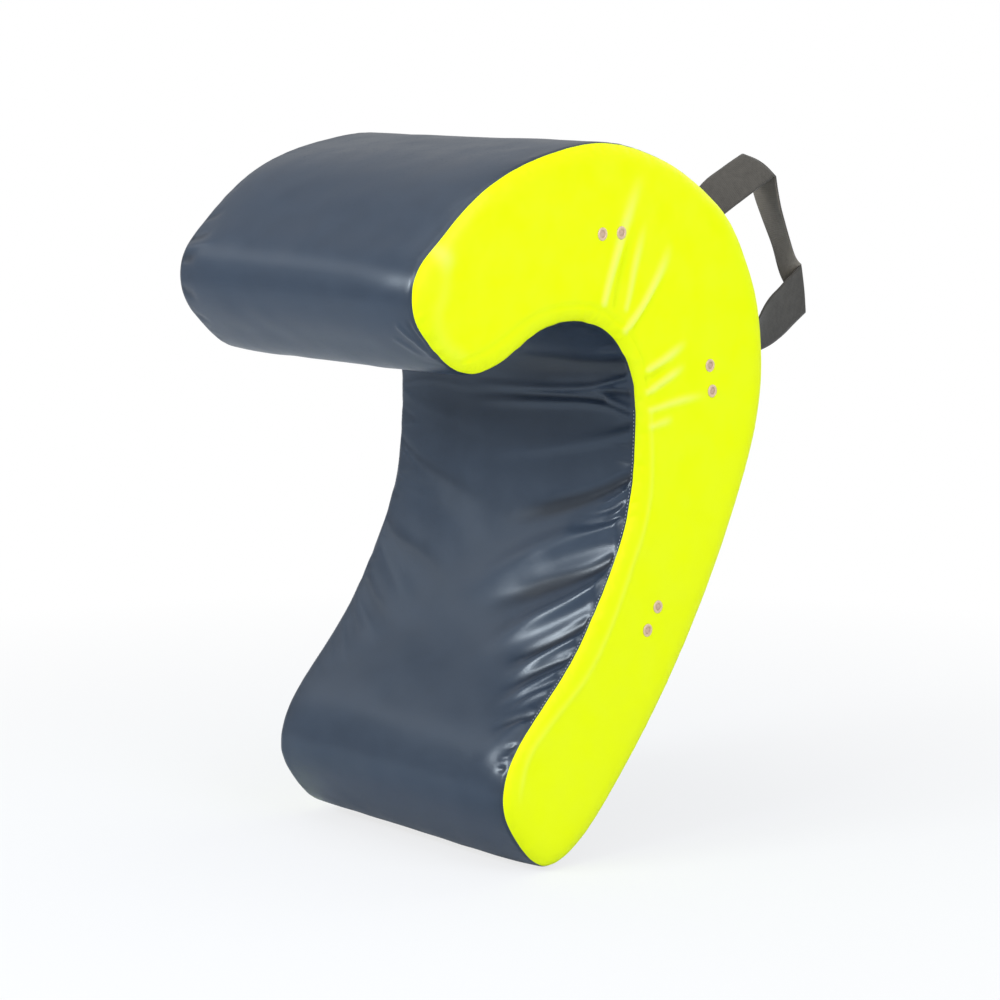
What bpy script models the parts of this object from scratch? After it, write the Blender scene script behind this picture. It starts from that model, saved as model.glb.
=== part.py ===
"""Tackle shield: a hooked foam body in a sewn vinyl cover, with webbing handles on its back.

Metres, +Z up. Width runs along X, and the hook's nose points to -Y. The origin is midway
between the two handles' grips, where the holder's hands carry the shield.
Lifts are distances along the outline's outward normal, counted from the side seams.
"""

import math

import bmesh
import bpy
import numpy as np
from mathutils import Matrix, Vector

# Overall size of the body
BODY_WIDTH = 0.400
BODY_DEPTH = 0.553
BODY_HEIGHT = 0.800

# The cover's round edges
WRAP_CROWN = 0.006
SIDE_CROWN = 0.0073
SIDE_DRAW = 0.030
WRAP_CROWN_POWER = 6
SIDE_CROWN_POWER = 3

# Sheets and clearances
SKIN_THICKNESS = 0.0012
FIT_GAP = 0.0003
SEAM_PULL = 0.0008
CUT_OVERRUN = 0.020
MERGE_DISTANCE = 0.000001
BACKING_THICKNESS = 0.020

# The circular stretch of the back, which carries the zip
BACK_ARC_RADIUS = 1.156
BACK_ARC_SPANS = 9

# The body's outline: shares of the depth behind its middle, and of the height above its foot
UPPER_BACK_SHARES = (
    (0.010, 1.000), (0.120, 0.988), (0.223, 0.963), (0.317, 0.925), (0.396, 0.878), (0.443, 0.825),
    (0.477, 0.770), (0.493, 0.712), (0.497, 0.653), (0.485, 0.595), (0.461, 0.540),
)
TOE_SHARES = (
    (0.014, 0.061), (-0.052, 0.022), (-0.135, 0.002), (-0.220, 0.047), (-0.257, 0.102),
    (-0.239, 0.154), (-0.191, 0.197),
)
HOLLOW_SHARES = (
    (-0.072, 0.279), (0.020, 0.370), (0.090, 0.469), (0.115, 0.581), (0.092, 0.694), (0.026, 0.742),
    (-0.080, 0.760), (-0.179, 0.745), (-0.263, 0.7135),
)
NOSE_SHARES = (
    (-0.360, 0.704), (-0.443, 0.740), (-0.492, 0.787), (-0.488, 0.836), (-0.433, 0.877),
    (-0.367, 0.916), (-0.288, 0.951), (-0.198, 0.976), (-0.099, 0.9925),
)
STATIONS_PER_SPAN = 2

# Columns across the wrap and down the side, as shares of the half width and of the draw
WRAP_SHARES = (0.0, 0.60, 0.85, 0.95, 1.0)
SIDE_SHARES = (0.15, 0.50, 1.0)

# Where the cross seams lie, counted along the outline's points, between two stations
CROWN_SEAM_POINT = 3.0
YOKE_SEAM_POINT = 10.0
HEEL_SEAM_POINT = 20.0

# Zip
ZIP_SLOT = 0.0110
TAPE_WIDTH = 0.0160
TAPE_THICKNESS = 0.0006
COIL_WIDTH = 0.0030
COIL_HEIGHT = 0.0022
ZIP_END_MARGIN = 0.020
STOP_LENGTH = 0.0045
SLIDER_LENGTH = 0.0130
SLIDER_PLATE = 0.0012
BAIL_WIDTH = 0.0024
BAIL_LENGTH = 0.0062
BAIL_HEIGHT = 0.0042
PULL_PIN_RADIUS = 0.0008
PULL_WIDTH = 0.0085
PULL_LENGTH = 0.0270
PULL_THICKNESS = 0.0014
PULL_HEAD = 0.0016
PULL_ROUNDING = 0.0004

# Handles of webbing
STRAP_WIDTH = 0.050
STRAP_THICKNESS = 0.0018
HANDLE_INSET = 0.095
HANDLE_OFFSET = BODY_WIDTH / 2 - HANDLE_INSET
HANDLE_ARM = 0.165
HANDLE_REST_DEG = 28.0
TOP_ANCHOR_POINT = 4.5
LOW_ANCHOR_POINT = 8.4
BEAD_RADIUS = 0.0011
FOLD_TAPER = 0.0045
FOLD_NECK = 0.0006
TAB_LENGTH = 0.060
PATCH_THICKNESS = 0.0012
PATCH_MARGIN = 0.012

# Eyelets
EYELET_OUTER_RADIUS = 0.0075
EYELET_HOLE_RADIUS = 0.0040
EYELET_BARREL_WALL = 0.0005
EYELET_FLANGE = 0.0008
EYELET_LIP = 0.0003
EYELET_PAIR_SPACING = 0.030
EYELET_CLINCH = 0.0006
WASHER_THICKNESS = 0.0006
POCKET_MARGIN = 0.0011
POCKET_SIDES = 8
ROUND_STEPS = 14
# Each pair's middle, as shares of the depth and the height, and the way that the pair runs
EYELET_PAIR_SHARES = ((0.031, 0.8765), (0.3275, 0.660), (0.157, 0.3265))
EYELET_PAIR_DEG = (0.0, -82.0, -124.0)

SIDES = {"right": 1, "left": -1}

FINISHES = {
    "yellow_vinyl": ((0.80, 1.0, 0.02), 0.45, 0.0),
    "slate_vinyl": ((0.07, 0.085, 0.115), 0.35, 0.0),
    "soft_foam": ((0.62, 0.66, 0.70), 0.90, 0.0),
    "firm_foam": ((0.35, 0.38, 0.42), 0.90, 0.0),
    "dark_webbing": ((0.08, 0.08, 0.07), 0.80, 0.0),
    "eyelet_brass": ((0.60, 0.42, 0.30), 0.35, 1.0),
    "washer_brass": ((0.65, 0.50, 0.28), 0.40, 1.0),
    "zip_tape": ((0.02, 0.02, 0.025), 0.75, 0.0),
    "zip_metal": ((0.45, 0.45, 0.47), 0.30, 1.0),
}


# Scene and small helpers


def clear_scene():
    for obj in list(bpy.data.objects):
        bpy.data.objects.remove(obj, do_unlink=True)


def new_collection(name):
    collection = bpy.data.collections.new(name)
    bpy.context.scene.collection.children.link(collection)
    return collection


def finish(name):
    """The Principled material of a finish, made the first time it is asked for."""
    material = bpy.data.materials.get(name)
    if material is None:
        colour, roughness, metallic = FINISHES[name]
        material = bpy.data.materials.new(name)
        material.use_nodes = True
        shader = material.node_tree.nodes["Principled BSDF"]
        shader.inputs["Base Color"].default_value = (*colour, 1.0)
        shader.inputs["Roughness"].default_value = roughness
        shader.inputs["Metallic"].default_value = metallic
        material.diffuse_color = (*colour, 1.0)
    return material


def add_object(name, bm, collection, finish_name=None):
    mesh = bpy.data.meshes.new(name)
    bm.to_mesh(mesh)
    bm.free()
    obj = bpy.data.objects.new(name, mesh)
    collection.objects.link(obj)
    if finish_name:
        mesh.materials.append(finish(finish_name))
    return obj


def add_cutter(name, bm):
    cutter = add_object(name, bm, CUTTERS)
    cutter.hide_render = True
    cutter.display_type = "WIRE"
    return cutter


def add_empty(name, place, turn_x=0.0):
    empty = bpy.data.objects.new(name, None)
    empty.location = place
    empty.rotation_euler = (turn_x, 0, 0)
    PARTS.objects.link(empty)
    return empty


def boolean(obj, other, operation, solver="EXACT"):
    modifier = obj.modifiers.new(f"{operation.lower()}_{other.name}", "BOOLEAN")
    modifier.object = other
    modifier.operation = operation
    modifier.solver = solver


def solidify(obj, thickness):
    """Gives an open sheet its thickness, inwards from its outer face."""
    modifier = obj.modifiers.new("thickness", "SOLIDIFY")
    modifier.thickness = thickness
    modifier.offset = -1
    modifier.use_even_offset = True


def block(low, high):
    """A box between two corners, as a bmesh."""
    low, high = Vector(low), Vector(high)
    bm = bmesh.new()
    place = Matrix.Translation((low + high) / 2) @ Matrix.Diagonal((*(high - low), 1))
    bmesh.ops.create_cube(bm, size=1.0, matrix=place)
    return bm


def rod(radius, length, place, sides=ROUND_STEPS):
    """A cylinder along X, centred on a place, as a bmesh."""
    bm = bmesh.new()
    bmesh.ops.create_cone(
        bm, cap_ends=True, segments=sides, radius1=radius, radius2=radius, depth=length
    )
    bmesh.ops.rotate(bm, verts=bm.verts, matrix=Matrix.Rotation(math.pi / 2, 3, "Y"))
    bmesh.ops.translate(bm, verts=bm.verts, vec=place)
    return bm


def loft(rows, around=False, caps=False):
    """Faces between successive rows of points. A ring's rows close on themselves."""
    bm = bmesh.new()
    rings = [[bm.verts.new(point) for point in row] for row in rows]
    for near, far in zip(rings, rings[1:]):
        columns = range(len(near)) if around else range(len(near) - 1)
        for i in columns:
            j = (i + 1) % len(near)
            bm.faces.new((near[i], near[j], far[j], far[i]))
    if caps:
        bm.faces.new(rings[0])
        bm.faces.new(rings[-1])
        bmesh.ops.recalc_face_normals(bm, faces=bm.faces)
    return bm


# The outline


def share_points(shares):
    return [np.array((depth * BODY_DEPTH, height * BODY_HEIGHT)) for depth, height in shares]


def back_arc_centre(top, bottom):
    """Centre of the back's arc, on the body's inner side of the chord."""
    half = (top - bottom) / 2
    inward = np.array((-half[1], half[0])) / np.linalg.norm(half)
    return bottom + half + inward * math.sqrt(BACK_ARC_RADIUS**2 - half @ half)


def angle_of(point, centre):
    return math.atan2(*(point - centre)[::-1])


def closed_slopes(points):
    """Slopes per unit of chord that make a closed cubic curve through the points bend evenly."""
    count = len(points)
    chords = np.linalg.norm(np.roll(points, -1, 0) - points, axis=1)
    system = np.zeros((count, count))
    goal = np.zeros((count, 2))
    for i in range(count):
        before, after = chords[i - 1], chords[i]
        following = (i + 1) % count
        system[i, i - 1] += 1 / before
        system[i, i] += 2 / before + 2 / after
        system[i, following] += 1 / after
        goal[i] = 3 * (points[i] - points[i - 1]) / before**2
        goal[i] += 3 * (points[following] - points[i]) / after**2
    return np.linalg.solve(system, goal), chords


ARC_TOP = share_points(UPPER_BACK_SHARES)[-1]
ARC_BOTTOM = share_points(TOE_SHARES)[0]
ARC_CENTRE = back_arc_centre(ARC_TOP, ARC_BOTTOM)
ARC_TOP_ANGLE = angle_of(ARC_TOP, ARC_CENTRE)
ARC_BOTTOM_ANGLE = angle_of(ARC_BOTTOM, ARC_CENTRE)


def arc_points():
    """Points on the back's arc, between its two ends."""
    angles = np.linspace(ARC_TOP_ANGLE, ARC_BOTTOM_ANGLE, BACK_ARC_SPANS + 1)[1:-1]
    ways = [np.array((math.cos(a), math.sin(a))) for a in angles]
    return [ARC_CENTRE + BACK_ARC_RADIUS * way for way in ways]


OUTLINE = np.array(
    share_points(UPPER_BACK_SHARES) + arc_points()
    + share_points(TOE_SHARES) + share_points(HOLLOW_SHARES) + share_points(NOSE_SHARES)
)
SLOPES, CHORDS = closed_slopes(OUTLINE)
POINT_COUNT = len(OUTLINE)


def spot(at):
    """Place and outward normal on the seam outline, at a place counted along its points."""
    index = int(math.floor(at)) % POINT_COUNT
    following = (index + 1) % POINT_COUNT
    t = at - math.floor(at)
    chord = CHORDS[index]
    start, end = OUTLINE[index], OUTLINE[following]
    leave, arrive = SLOPES[index] * chord, SLOPES[following] * chord
    ease = 3 * t**2 - 2 * t**3
    place = start * (1 - ease) + end * ease
    place = place + leave * (t - 2 * t**2 + t**3) + arrive * (t**3 - t**2)
    slope = (end - start) * (6 * t - 6 * t**2)
    slope = slope + leave * (1 - 4 * t + 3 * t**2) + arrive * (3 * t**2 - 2 * t)
    slope = slope / np.linalg.norm(slope)
    return place, np.array((-slope[1], slope[0]))


def moved_along(at, distance):
    """The place that lies a distance further along the outline, counted along its points."""
    index = int(math.floor(at)) % POINT_COUNT
    return at + distance / CHORDS[index]


def stations(start, end):
    """Places from start to end, with every regular station that lies between them."""
    first = math.floor(start * STATIONS_PER_SPAN) + 1
    last = math.ceil(end * STATIONS_PER_SPAN)
    return [start] + [i / STATIONS_PER_SPAN for i in range(first, last)] + [end]


ALL_STATIONS = [i / STATIONS_PER_SPAN for i in range(POINT_COUNT * STATIONS_PER_SPAN)]

# Cross section: x across the body, lift along the outline's normal

SEAM_X = BODY_WIDTH / 2 - SIDE_CROWN
PATCH_LIFT = FIT_GAP + PATCH_THICKNESS
STRAP_LIFT = PATCH_LIFT + FIT_GAP + STRAP_THICKNESS
PIVOT_LIFT = PATCH_LIFT + FIT_GAP + BEAD_RADIUS


def wrap_lift(x):
    """How far the crowned wrap stands above the seam outline."""
    return WRAP_CROWN * (1 - abs(x / SEAM_X) ** WRAP_CROWN_POWER)


def half_section():
    """The outer section, from the wrap's middle over the seam to the flat of the side."""
    wrap = [(share * SEAM_X, wrap_lift(share * SEAM_X)) for share in WRAP_SHARES]
    return wrap + side_section()


def side_section(start_share=None):
    """The side's rounding, from the seam to the flat. It can start a little inside the seam."""
    shares = SIDE_SHARES if start_share is None else (start_share, *SIDE_SHARES)
    return [
        (SEAM_X + SIDE_CROWN * (1 - (1 - s) ** SIDE_CROWN_POWER), -SIDE_DRAW * s) for s in shares
    ]


def inset_section(depth):
    """The half section moved inwards, square to each of its facets."""
    outer = [np.array(point) for point in half_section()]
    before = outer[1] * (-1, 1)
    after = outer[-1] - (0, SIDE_DRAW)
    chain = [before, *outer, after]
    moved = []
    for i in range(1, len(chain) - 1):
        ways = [chain[i] - chain[i - 1], chain[i + 1] - chain[i]]
        outs = [np.array((-way[1], way[0])) / np.linalg.norm(way) for way in ways]
        moved.append(chain[i] - depth * (outs[0] + outs[1]) / (1 + outs[0] @ outs[1]))
    return moved


# The handles' anchors and folds, and the origin midway between the two grips


def anchor(at):
    place, normal = spot(at)
    return place + normal * (wrap_lift(HANDLE_OFFSET) + PIVOT_LIFT)


ARM_WAY = np.array((math.cos(math.radians(HANDLE_REST_DEG)), math.sin(math.radians(HANDLE_REST_DEG))))
TOP_ANCHOR, LOW_ANCHOR = anchor(TOP_ANCHOR_POINT), anchor(LOW_ANCHOR_POINT)
TOP_FOLD, LOW_FOLD = TOP_ANCHOR + HANDLE_ARM * ARM_WAY, LOW_ANCHOR + HANDLE_ARM * ARM_WAY
ORIGIN = (TOP_FOLD + LOW_FOLD) / 2


def world(x, flat):
    """A point of the side view, in depth and height, put into the shield's frame."""
    return Vector((x, flat[0] - ORIGIN[0], flat[1] - ORIGIN[1]))


def on_outline(x, lift, at):
    place, normal = spot(at)
    return world(x, place + normal * lift)


# Cover and foam


def cover_sheet(name, start, end, columns, lift, thickness, finish_name):
    """A sheet that follows the wrap between two places and has its outer face at a lift above it."""
    rows = [[on_outline(x, wrap_lift(x) + lift, at) for x in columns] for at in stations(start, end)]
    sheet = add_object(name, loft(rows), PARTS, finish_name)
    solidify(sheet, thickness)
    return sheet


def wrap_columns():
    edge = SEAM_X - SEAM_PULL
    half = [share * SEAM_X for share in WRAP_SHARES[1:-1]] + [edge]
    return [-x for x in reversed(half)] + [0.0] + half


def make_wrap_and_back():
    columns = wrap_columns()
    crown = moved_along(CROWN_SEAM_POINT, SEAM_PULL / 2)
    crown_front = moved_along(CROWN_SEAM_POINT, -SEAM_PULL / 2) + POINT_COUNT
    yoke_end = moved_along(YOKE_SEAM_POINT, -SEAM_PULL / 2)
    lower_start = moved_along(YOKE_SEAM_POINT, SEAM_PULL / 2)
    heel = moved_along(HEEL_SEAM_POINT, -SEAM_PULL / 2)
    heel_front = moved_along(HEEL_SEAM_POINT, SEAM_PULL / 2)
    cover_sheet("front_wrap", heel_front, crown_front, columns, 0, SKIN_THICKNESS, "slate_vinyl")
    cover_sheet("back_yoke", crown, yoke_end, columns, 0, SKIN_THICKNESS, "slate_vinyl")
    half = [x for x in columns if x > ZIP_SLOT]
    for side, sign in SIDES.items():
        sides = sorted(sign * x for x in [ZIP_SLOT / 2] + half)
        cover_sheet(f"back_panel_{side}", lower_start, heel, sides, 0, SKIN_THICKNESS, "slate_vinyl")


def make_side_panels():
    """The flat panels, drawn in to the seam all round, with a hole for each eyelet."""
    start = SEAM_PULL / SIDE_DRAW
    for side, sign in SIDES.items():
        rows = [
            [on_outline(sign * x, lift, at) for at in ALL_STATIONS]
            for x, lift in side_section(start)
        ]
        bm = loft(rows, around=True)
        bm.verts.ensure_lookup_table()
        flat = bm.faces.new(bm.verts[-len(ALL_STATIONS):])
        bmesh.ops.recalc_face_normals(bm, faces=bm.faces)
        if flat.normal.x * sign < 0:
            bmesh.ops.reverse_faces(bm, faces=bm.faces)
        panel = add_object(f"side_panel_{side}", bm, PARTS, "yellow_vinyl")
        solidify(panel, SKIN_THICKNESS)
        hole = EYELET_HOLE_RADIUS + EYELET_BARREL_WALL + FIT_GAP
        for i, place in enumerate(eyelet_places(sign)):
            cutter = rod(hole, CUT_OVERRUN, place)
            boolean(panel, add_cutter(f"panel_hole_{side}_{i + 1}", cutter), "DIFFERENCE")


def foam_block():
    """The whole foam body, a clearance inside the cover."""
    half = inset_section(SKIN_THICKNESS + FIT_GAP)
    full = [(-x, lift) for x, lift in reversed(half[1:])] + half
    rows = [[on_outline(x, lift, at) for at in ALL_STATIONS] for x, lift in full]
    return loft(rows, around=True, caps=True)


def back_slab(depth, ends):
    """A slab that takes in the foam's back down to a depth, from the crown seam to the heel seam."""
    wide = BODY_WIDTH / 2 + CUT_OVERRUN
    corners = ((-wide, -depth), (wide, -depth), (wide, CUT_OVERRUN), (-wide, CUT_OVERRUN))
    start = moved_along(CROWN_SEAM_POINT, -ends)
    end = moved_along(HEEL_SEAM_POINT, ends)
    rows = [[on_outline(x, lift, at) for x, lift in corners] for at in stations(start, end)]
    return loft(rows, around=True, caps=True)


def zip_groove():
    """Room in the backing foam for the zip's tapes."""
    wide = TAPE_WIDTH + 2 * FIT_GAP
    floor = WRAP_CROWN - SKIN_THICKNESS - FIT_GAP - TAPE_THICKNESS - FIT_GAP
    corners = ((-wide, floor), (wide, floor), (wide, CUT_OVERRUN), (-wide, CUT_OVERRUN))
    start = moved_along(YOKE_SEAM_POINT, -2 * FIT_GAP)
    end = moved_along(HEEL_SEAM_POINT, CUT_OVERRUN)
    rows = [[on_outline(x, lift, at) for x, lift in corners] for at in stations(start, end)]
    return loft(rows, around=True, caps=True)


def make_foam():
    """Both foams come from one block. The exact solver leaves gaps in these long lofts at some sizes."""
    core = add_object("foam_core", foam_block(), PARTS, "soft_foam")
    backing = add_object("backing_foam", foam_block(), PARTS, "firm_foam")
    slab = add_cutter("backing_slab", back_slab(BACKING_THICKNESS, 0))
    core_slab = add_cutter("core_slab", back_slab(BACKING_THICKNESS + FIT_GAP, FIT_GAP))
    boolean(backing, slab, "INTERSECT", "MANIFOLD")
    boolean(core, core_slab, "DIFFERENCE", "MANIFOLD")
    boolean(backing, add_cutter("zip_groove", zip_groove()), "DIFFERENCE", "MANIFOLD")
    deep = SKIN_THICKNESS + WASHER_THICKNESS + EYELET_CLINCH + 3 * FIT_GAP
    for side, sign in SIDES.items():
        for i, place in enumerate(eyelet_places(sign)):
            pocket = rod(EYELET_OUTER_RADIUS + POCKET_MARGIN, 2 * deep, place, POCKET_SIDES)
            cutter = add_cutter(f"washer_pocket_{side}_{i + 1}", pocket)
            boolean(core, cutter, "DIFFERENCE", "MANIFOLD")


# Eyelets


def eyelet_places(sign):
    """Middles of the eyelets on the outer face of one side panel."""
    places = []
    for middle, degrees in zip(share_points(EYELET_PAIR_SHARES), EYELET_PAIR_DEG):
        way = np.array((math.cos(math.radians(degrees)), math.sin(math.radians(degrees))))
        for half in (-EYELET_PAIR_SPACING / 2, EYELET_PAIR_SPACING / 2):
            places.append(world(sign * BODY_WIDTH / 2, middle + way * half))
    return places


def turned_ring(name, profile, place, sign, finish_name):
    """A closed profile of radius and height turned about its own axis, which points out of a side."""
    bm = bmesh.new()
    ring = [bm.verts.new((radius, 0, height)) for radius, height in profile]
    for i, vert in enumerate(ring):
        bm.edges.new((vert, ring[(i + 1) % len(ring)]))
    piece = add_object(name, bm, PARTS, finish_name)
    screw = piece.modifiers.new("turn", "SCREW")
    screw.steps = screw.render_steps = ROUND_STEPS
    screw.use_merge_vertices = True
    screw.merge_threshold = MERGE_DISTANCE
    piece.location = place
    piece.rotation_euler = (0, sign * math.pi / 2, 0)
    return piece


def make_eyelets():
    barrel = EYELET_HOLE_RADIUS + EYELET_BARREL_WALL
    washer_top = -SKIN_THICKNESS - FIT_GAP
    washer_foot = washer_top - WASHER_THICKNESS
    end = washer_foot - EYELET_CLINCH
    flange_foot = FIT_GAP
    flange_top = flange_foot + EYELET_FLANGE
    eyelet = (
        (EYELET_HOLE_RADIUS, flange_top - EYELET_LIP),
        (barrel + EYELET_LIP, flange_top),
        (EYELET_OUTER_RADIUS - EYELET_LIP, flange_top),
        (EYELET_OUTER_RADIUS, flange_foot),
        (barrel, flange_foot),
        (barrel, end),
        (EYELET_HOLE_RADIUS, end),
    )
    hole = barrel + FIT_GAP
    washer = (
        (hole, washer_top),
        (EYELET_OUTER_RADIUS, washer_top),
        (EYELET_OUTER_RADIUS, washer_foot),
        (hole, washer_foot),
    )
    for side, sign in SIDES.items():
        for i, place in enumerate(eyelet_places(sign)):
            turned_ring(f"eyelet_{side}_{i + 1}", eyelet, place, sign, "eyelet_brass")
            turned_ring(f"washer_{side}_{i + 1}", washer, place, sign, "washer_brass")


# Zip

SKIN_RADIUS = BACK_ARC_RADIUS + WRAP_CROWN
TAPE_TOP = -SKIN_THICKNESS - FIT_GAP
COIL_TOP = TAPE_TOP + COIL_HEIGHT
SADDLE_TOP = COIL_TOP + FIT_GAP + SLIDER_PLATE
PIN_HEIGHT = SADDLE_TOP + BAIL_HEIGHT / 2


def make_tapes():
    start = moved_along(YOKE_SEAM_POINT, SEAM_PULL / 2)
    end = moved_along(HEEL_SEAM_POINT, -SEAM_PULL / 2)
    top, foot = WRAP_CROWN + TAPE_TOP, WRAP_CROWN + TAPE_TOP - TAPE_THICKNESS
    inner = FIT_GAP / 2
    section = (
        (inner, foot), (TAPE_WIDTH, foot), (TAPE_WIDTH, top),
        (COIL_WIDTH, top), (COIL_WIDTH, WRAP_CROWN + COIL_TOP), (inner, WRAP_CROWN + COIL_TOP),
    )
    for side, sign in SIDES.items():
        rows = [[on_outline(sign * x, lift, at) for x, lift in section] for at in stations(start, end)]
        add_object(f"zip_tape_{side}", loft(rows, around=True, caps=True), PARTS, "zip_tape")


def saddle(name, length):
    """A metal block that straddles the two coils. Its local Y is the height above the cover."""
    half_width = ZIP_SLOT / 2 - FIT_GAP
    half_length = length / 2
    foot = TAPE_TOP + FIT_GAP
    body = block(
        (-half_width, SKIN_RADIUS + foot, -half_length), (half_width, SKIN_RADIUS + SADDLE_TOP, half_length)
    )
    piece = add_object(name, body, PARTS, "zip_metal")
    channel = COIL_WIDTH + FIT_GAP
    cut = block(
        (-channel, SKIN_RADIUS + foot - CUT_OVERRUN, -length),
        (channel, SKIN_RADIUS + COIL_TOP + FIT_GAP, length),
    )
    cutter = add_cutter(f"{name}_channel", cut)
    boolean(piece, cutter, "DIFFERENCE")
    return piece, cutter


def carried(name, angle, *pieces):
    """Hangs pieces on an empty at the arc's centre, turned to their place along the zip."""
    carrier = add_empty(name, world(0, ARC_CENTRE), angle)
    for piece in pieces:
        piece.parent = carrier
    return carrier


def make_zip_hardware():
    margin = ZIP_END_MARGIN / SKIN_RADIUS
    stop_half = STOP_LENGTH / 2 / SKIN_RADIUS
    carried("stop_top_place", ARC_TOP_ANGLE - margin, *saddle("zip_stop_top", STOP_LENGTH))
    carried("stop_bottom_place", ARC_BOTTOM_ANGLE + margin, *saddle("zip_stop_bottom", STOP_LENGTH))
    slider, channel = saddle("zip_slider", SLIDER_LENGTH)
    bail = add_cutter("slider_bail", block(
        (-BAIL_WIDTH / 2, SKIN_RADIUS + SADDLE_TOP - SLIDER_PLATE / 2, -BAIL_LENGTH / 2),
        (BAIL_WIDTH / 2, SKIN_RADIUS + SADDLE_TOP + BAIL_HEIGHT, BAIL_LENGTH / 2),
    ))
    eye = add_cutter("slider_eye", rod(
        PULL_PIN_RADIUS + FIT_GAP, SLIDER_LENGTH, (0, SKIN_RADIUS + PIN_HEIGHT, 0)
    ))
    boolean(slider, bail, "UNION")
    boolean(slider, eye, "DIFFERENCE")
    slider_half = SLIDER_LENGTH / 2 / SKIN_RADIUS
    rest = ARC_TOP_ANGLE - margin - stop_half - slider_half - FIT_GAP / SKIN_RADIUS
    carrier = carried("slider_place", rest, slider, channel, bail, eye)
    make_pull(carrier, rest)


def make_pull(carrier, rest):
    """The tab that hangs from the slider's bail on its own cross pin."""
    half = PULL_WIDTH / 2
    tab = block((-half, -PULL_THICKNESS / 2, -PULL_LENGTH), (half, PULL_THICKNESS / 2, PULL_HEAD))
    bmesh.ops.bevel(
        tab, geom=tab.edges[:], offset=PULL_ROUNDING, segments=1, affect="EDGES", profile=0.5
    )
    pull = add_object("zip_pull", tab, PARTS, "zip_metal")
    slot_half = BAIL_WIDTH / 2 + FIT_GAP
    cut = block((-slot_half, -CUT_OVERRUN, -BAIL_LENGTH), (slot_half, CUT_OVERRUN, CUT_OVERRUN))
    slot = add_cutter("pull_slot", cut)
    pin = add_cutter("pull_pin", rod(PULL_PIN_RADIUS, PULL_WIDTH - 2 * PULL_ROUNDING, (0, 0, 0)))
    boolean(pull, slot, "DIFFERENCE")
    boolean(pull, pin, "UNION")
    for piece in (pull, slot, pin):
        piece.parent = carrier
        piece.location = (0, SKIN_RADIUS + PIN_HEIGHT, 0)
        piece.rotation_euler = (-rest, 0, 0)


# Handles


def strap_outline(length, beads):
    """The side view of a flat strap between two folds. A bead is the sewn roll that the fold turns on."""
    half, neck = STRAP_THICKNESS / 2, FOLD_NECK / 2
    clear = BEAD_RADIUS + FIT_GAP
    points = [(FOLD_TAPER, -half), (length - FOLD_TAPER, -half)]
    points += bead_points(length, 1) if beads else [(length - clear, -neck), (length - clear, neck)]
    points += [(length - FOLD_TAPER, half), (FOLD_TAPER, half)]
    points += bead_points(0, -1) if beads else [(clear, neck), (clear, -neck)]
    return points


def bead_points(middle, way):
    """A round end of the strap's outline, from one side of its neck to the other."""
    start = math.asin(FOLD_NECK / 2 / BEAD_RADIUS)
    turn = np.linspace(math.pi + start, 3 * math.pi - start, ROUND_STEPS // 2 + 2)
    return [
        (middle + way * BEAD_RADIUS * math.cos(a), way * BEAD_RADIUS * math.sin(a)) for a in turn
    ]


def strap(name, start, end, beads, x):
    """A length of webbing from one fold to the next, as a flat outline as wide as the webbing."""
    way = end - start
    curve = bpy.data.curves.new(name, "CURVE")
    curve.dimensions = "2D"
    curve.fill_mode = "BOTH"
    curve.extrude = STRAP_WIDTH / 2
    points = strap_outline(np.linalg.norm(way), beads)
    spline = curve.splines.new("POLY")
    spline.points.add(len(points) - 1)
    spline.use_cyclic_u = True
    for point, (along, across) in zip(spline.points, points):
        point.co = (along, across, 0, 1)
    curve.materials.append(finish("dark_webbing"))
    piece = bpy.data.objects.new(name, curve)
    PARTS.objects.link(piece)
    piece.matrix_world = Matrix((
        (0, 0, 1, x),
        (way[0] / np.linalg.norm(way), -way[1] / np.linalg.norm(way), 0, start[0] - ORIGIN[0]),
        (way[1] / np.linalg.norm(way), way[0] / np.linalg.norm(way), 0, start[1] - ORIGIN[1]),
        (0, 0, 0, 1),
    ))
    return piece


def make_handle(side, x):
    """One handle: a sewn patch, two sewn ends, and the loop of two arms and a grip."""
    half = STRAP_WIDTH / 2
    across = [x - half, x, x + half]
    wide = [x - half - PATCH_MARGIN, x, x + half + PATCH_MARGIN]
    clear = BEAD_RADIUS + FIT_GAP
    top_end = moved_along(TOP_ANCHOR_POINT, -clear)
    top_start = moved_along(TOP_ANCHOR_POINT, -clear - TAB_LENGTH)
    low_start = moved_along(LOW_ANCHOR_POINT, clear)
    low_end = moved_along(LOW_ANCHOR_POINT, clear + TAB_LENGTH)
    patch_start = moved_along(top_start, -PATCH_MARGIN)
    patch_end = moved_along(low_end, PATCH_MARGIN)
    cover_sheet(
        f"handle_patch_{side}", patch_start, patch_end, wide, PATCH_LIFT, PATCH_THICKNESS, "slate_vinyl"
    )
    cover_sheet(
        f"handle_tab_top_{side}", top_start, top_end, across, STRAP_LIFT, STRAP_THICKNESS, "dark_webbing"
    )
    cover_sheet(
        f"handle_tab_low_{side}", low_start, low_end, across, STRAP_LIFT, STRAP_THICKNESS, "dark_webbing"
    )
    strap(f"handle_arm_top_{side}", TOP_ANCHOR, TOP_FOLD, True, x)
    strap(f"handle_grip_{side}", TOP_FOLD, LOW_FOLD, False, x)
    strap(f"handle_arm_low_{side}", LOW_ANCHOR, LOW_FOLD, True, x)


clear_scene()
PARTS = new_collection("tackle_shield")
CUTTERS = new_collection("cutters")
make_foam()
make_wrap_and_back()
make_side_panels()
make_eyelets()
make_tapes()
make_zip_hardware()
for side_name, side_sign in SIDES.items():
    make_handle(side_name, side_sign * HANDLE_OFFSET)

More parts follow.
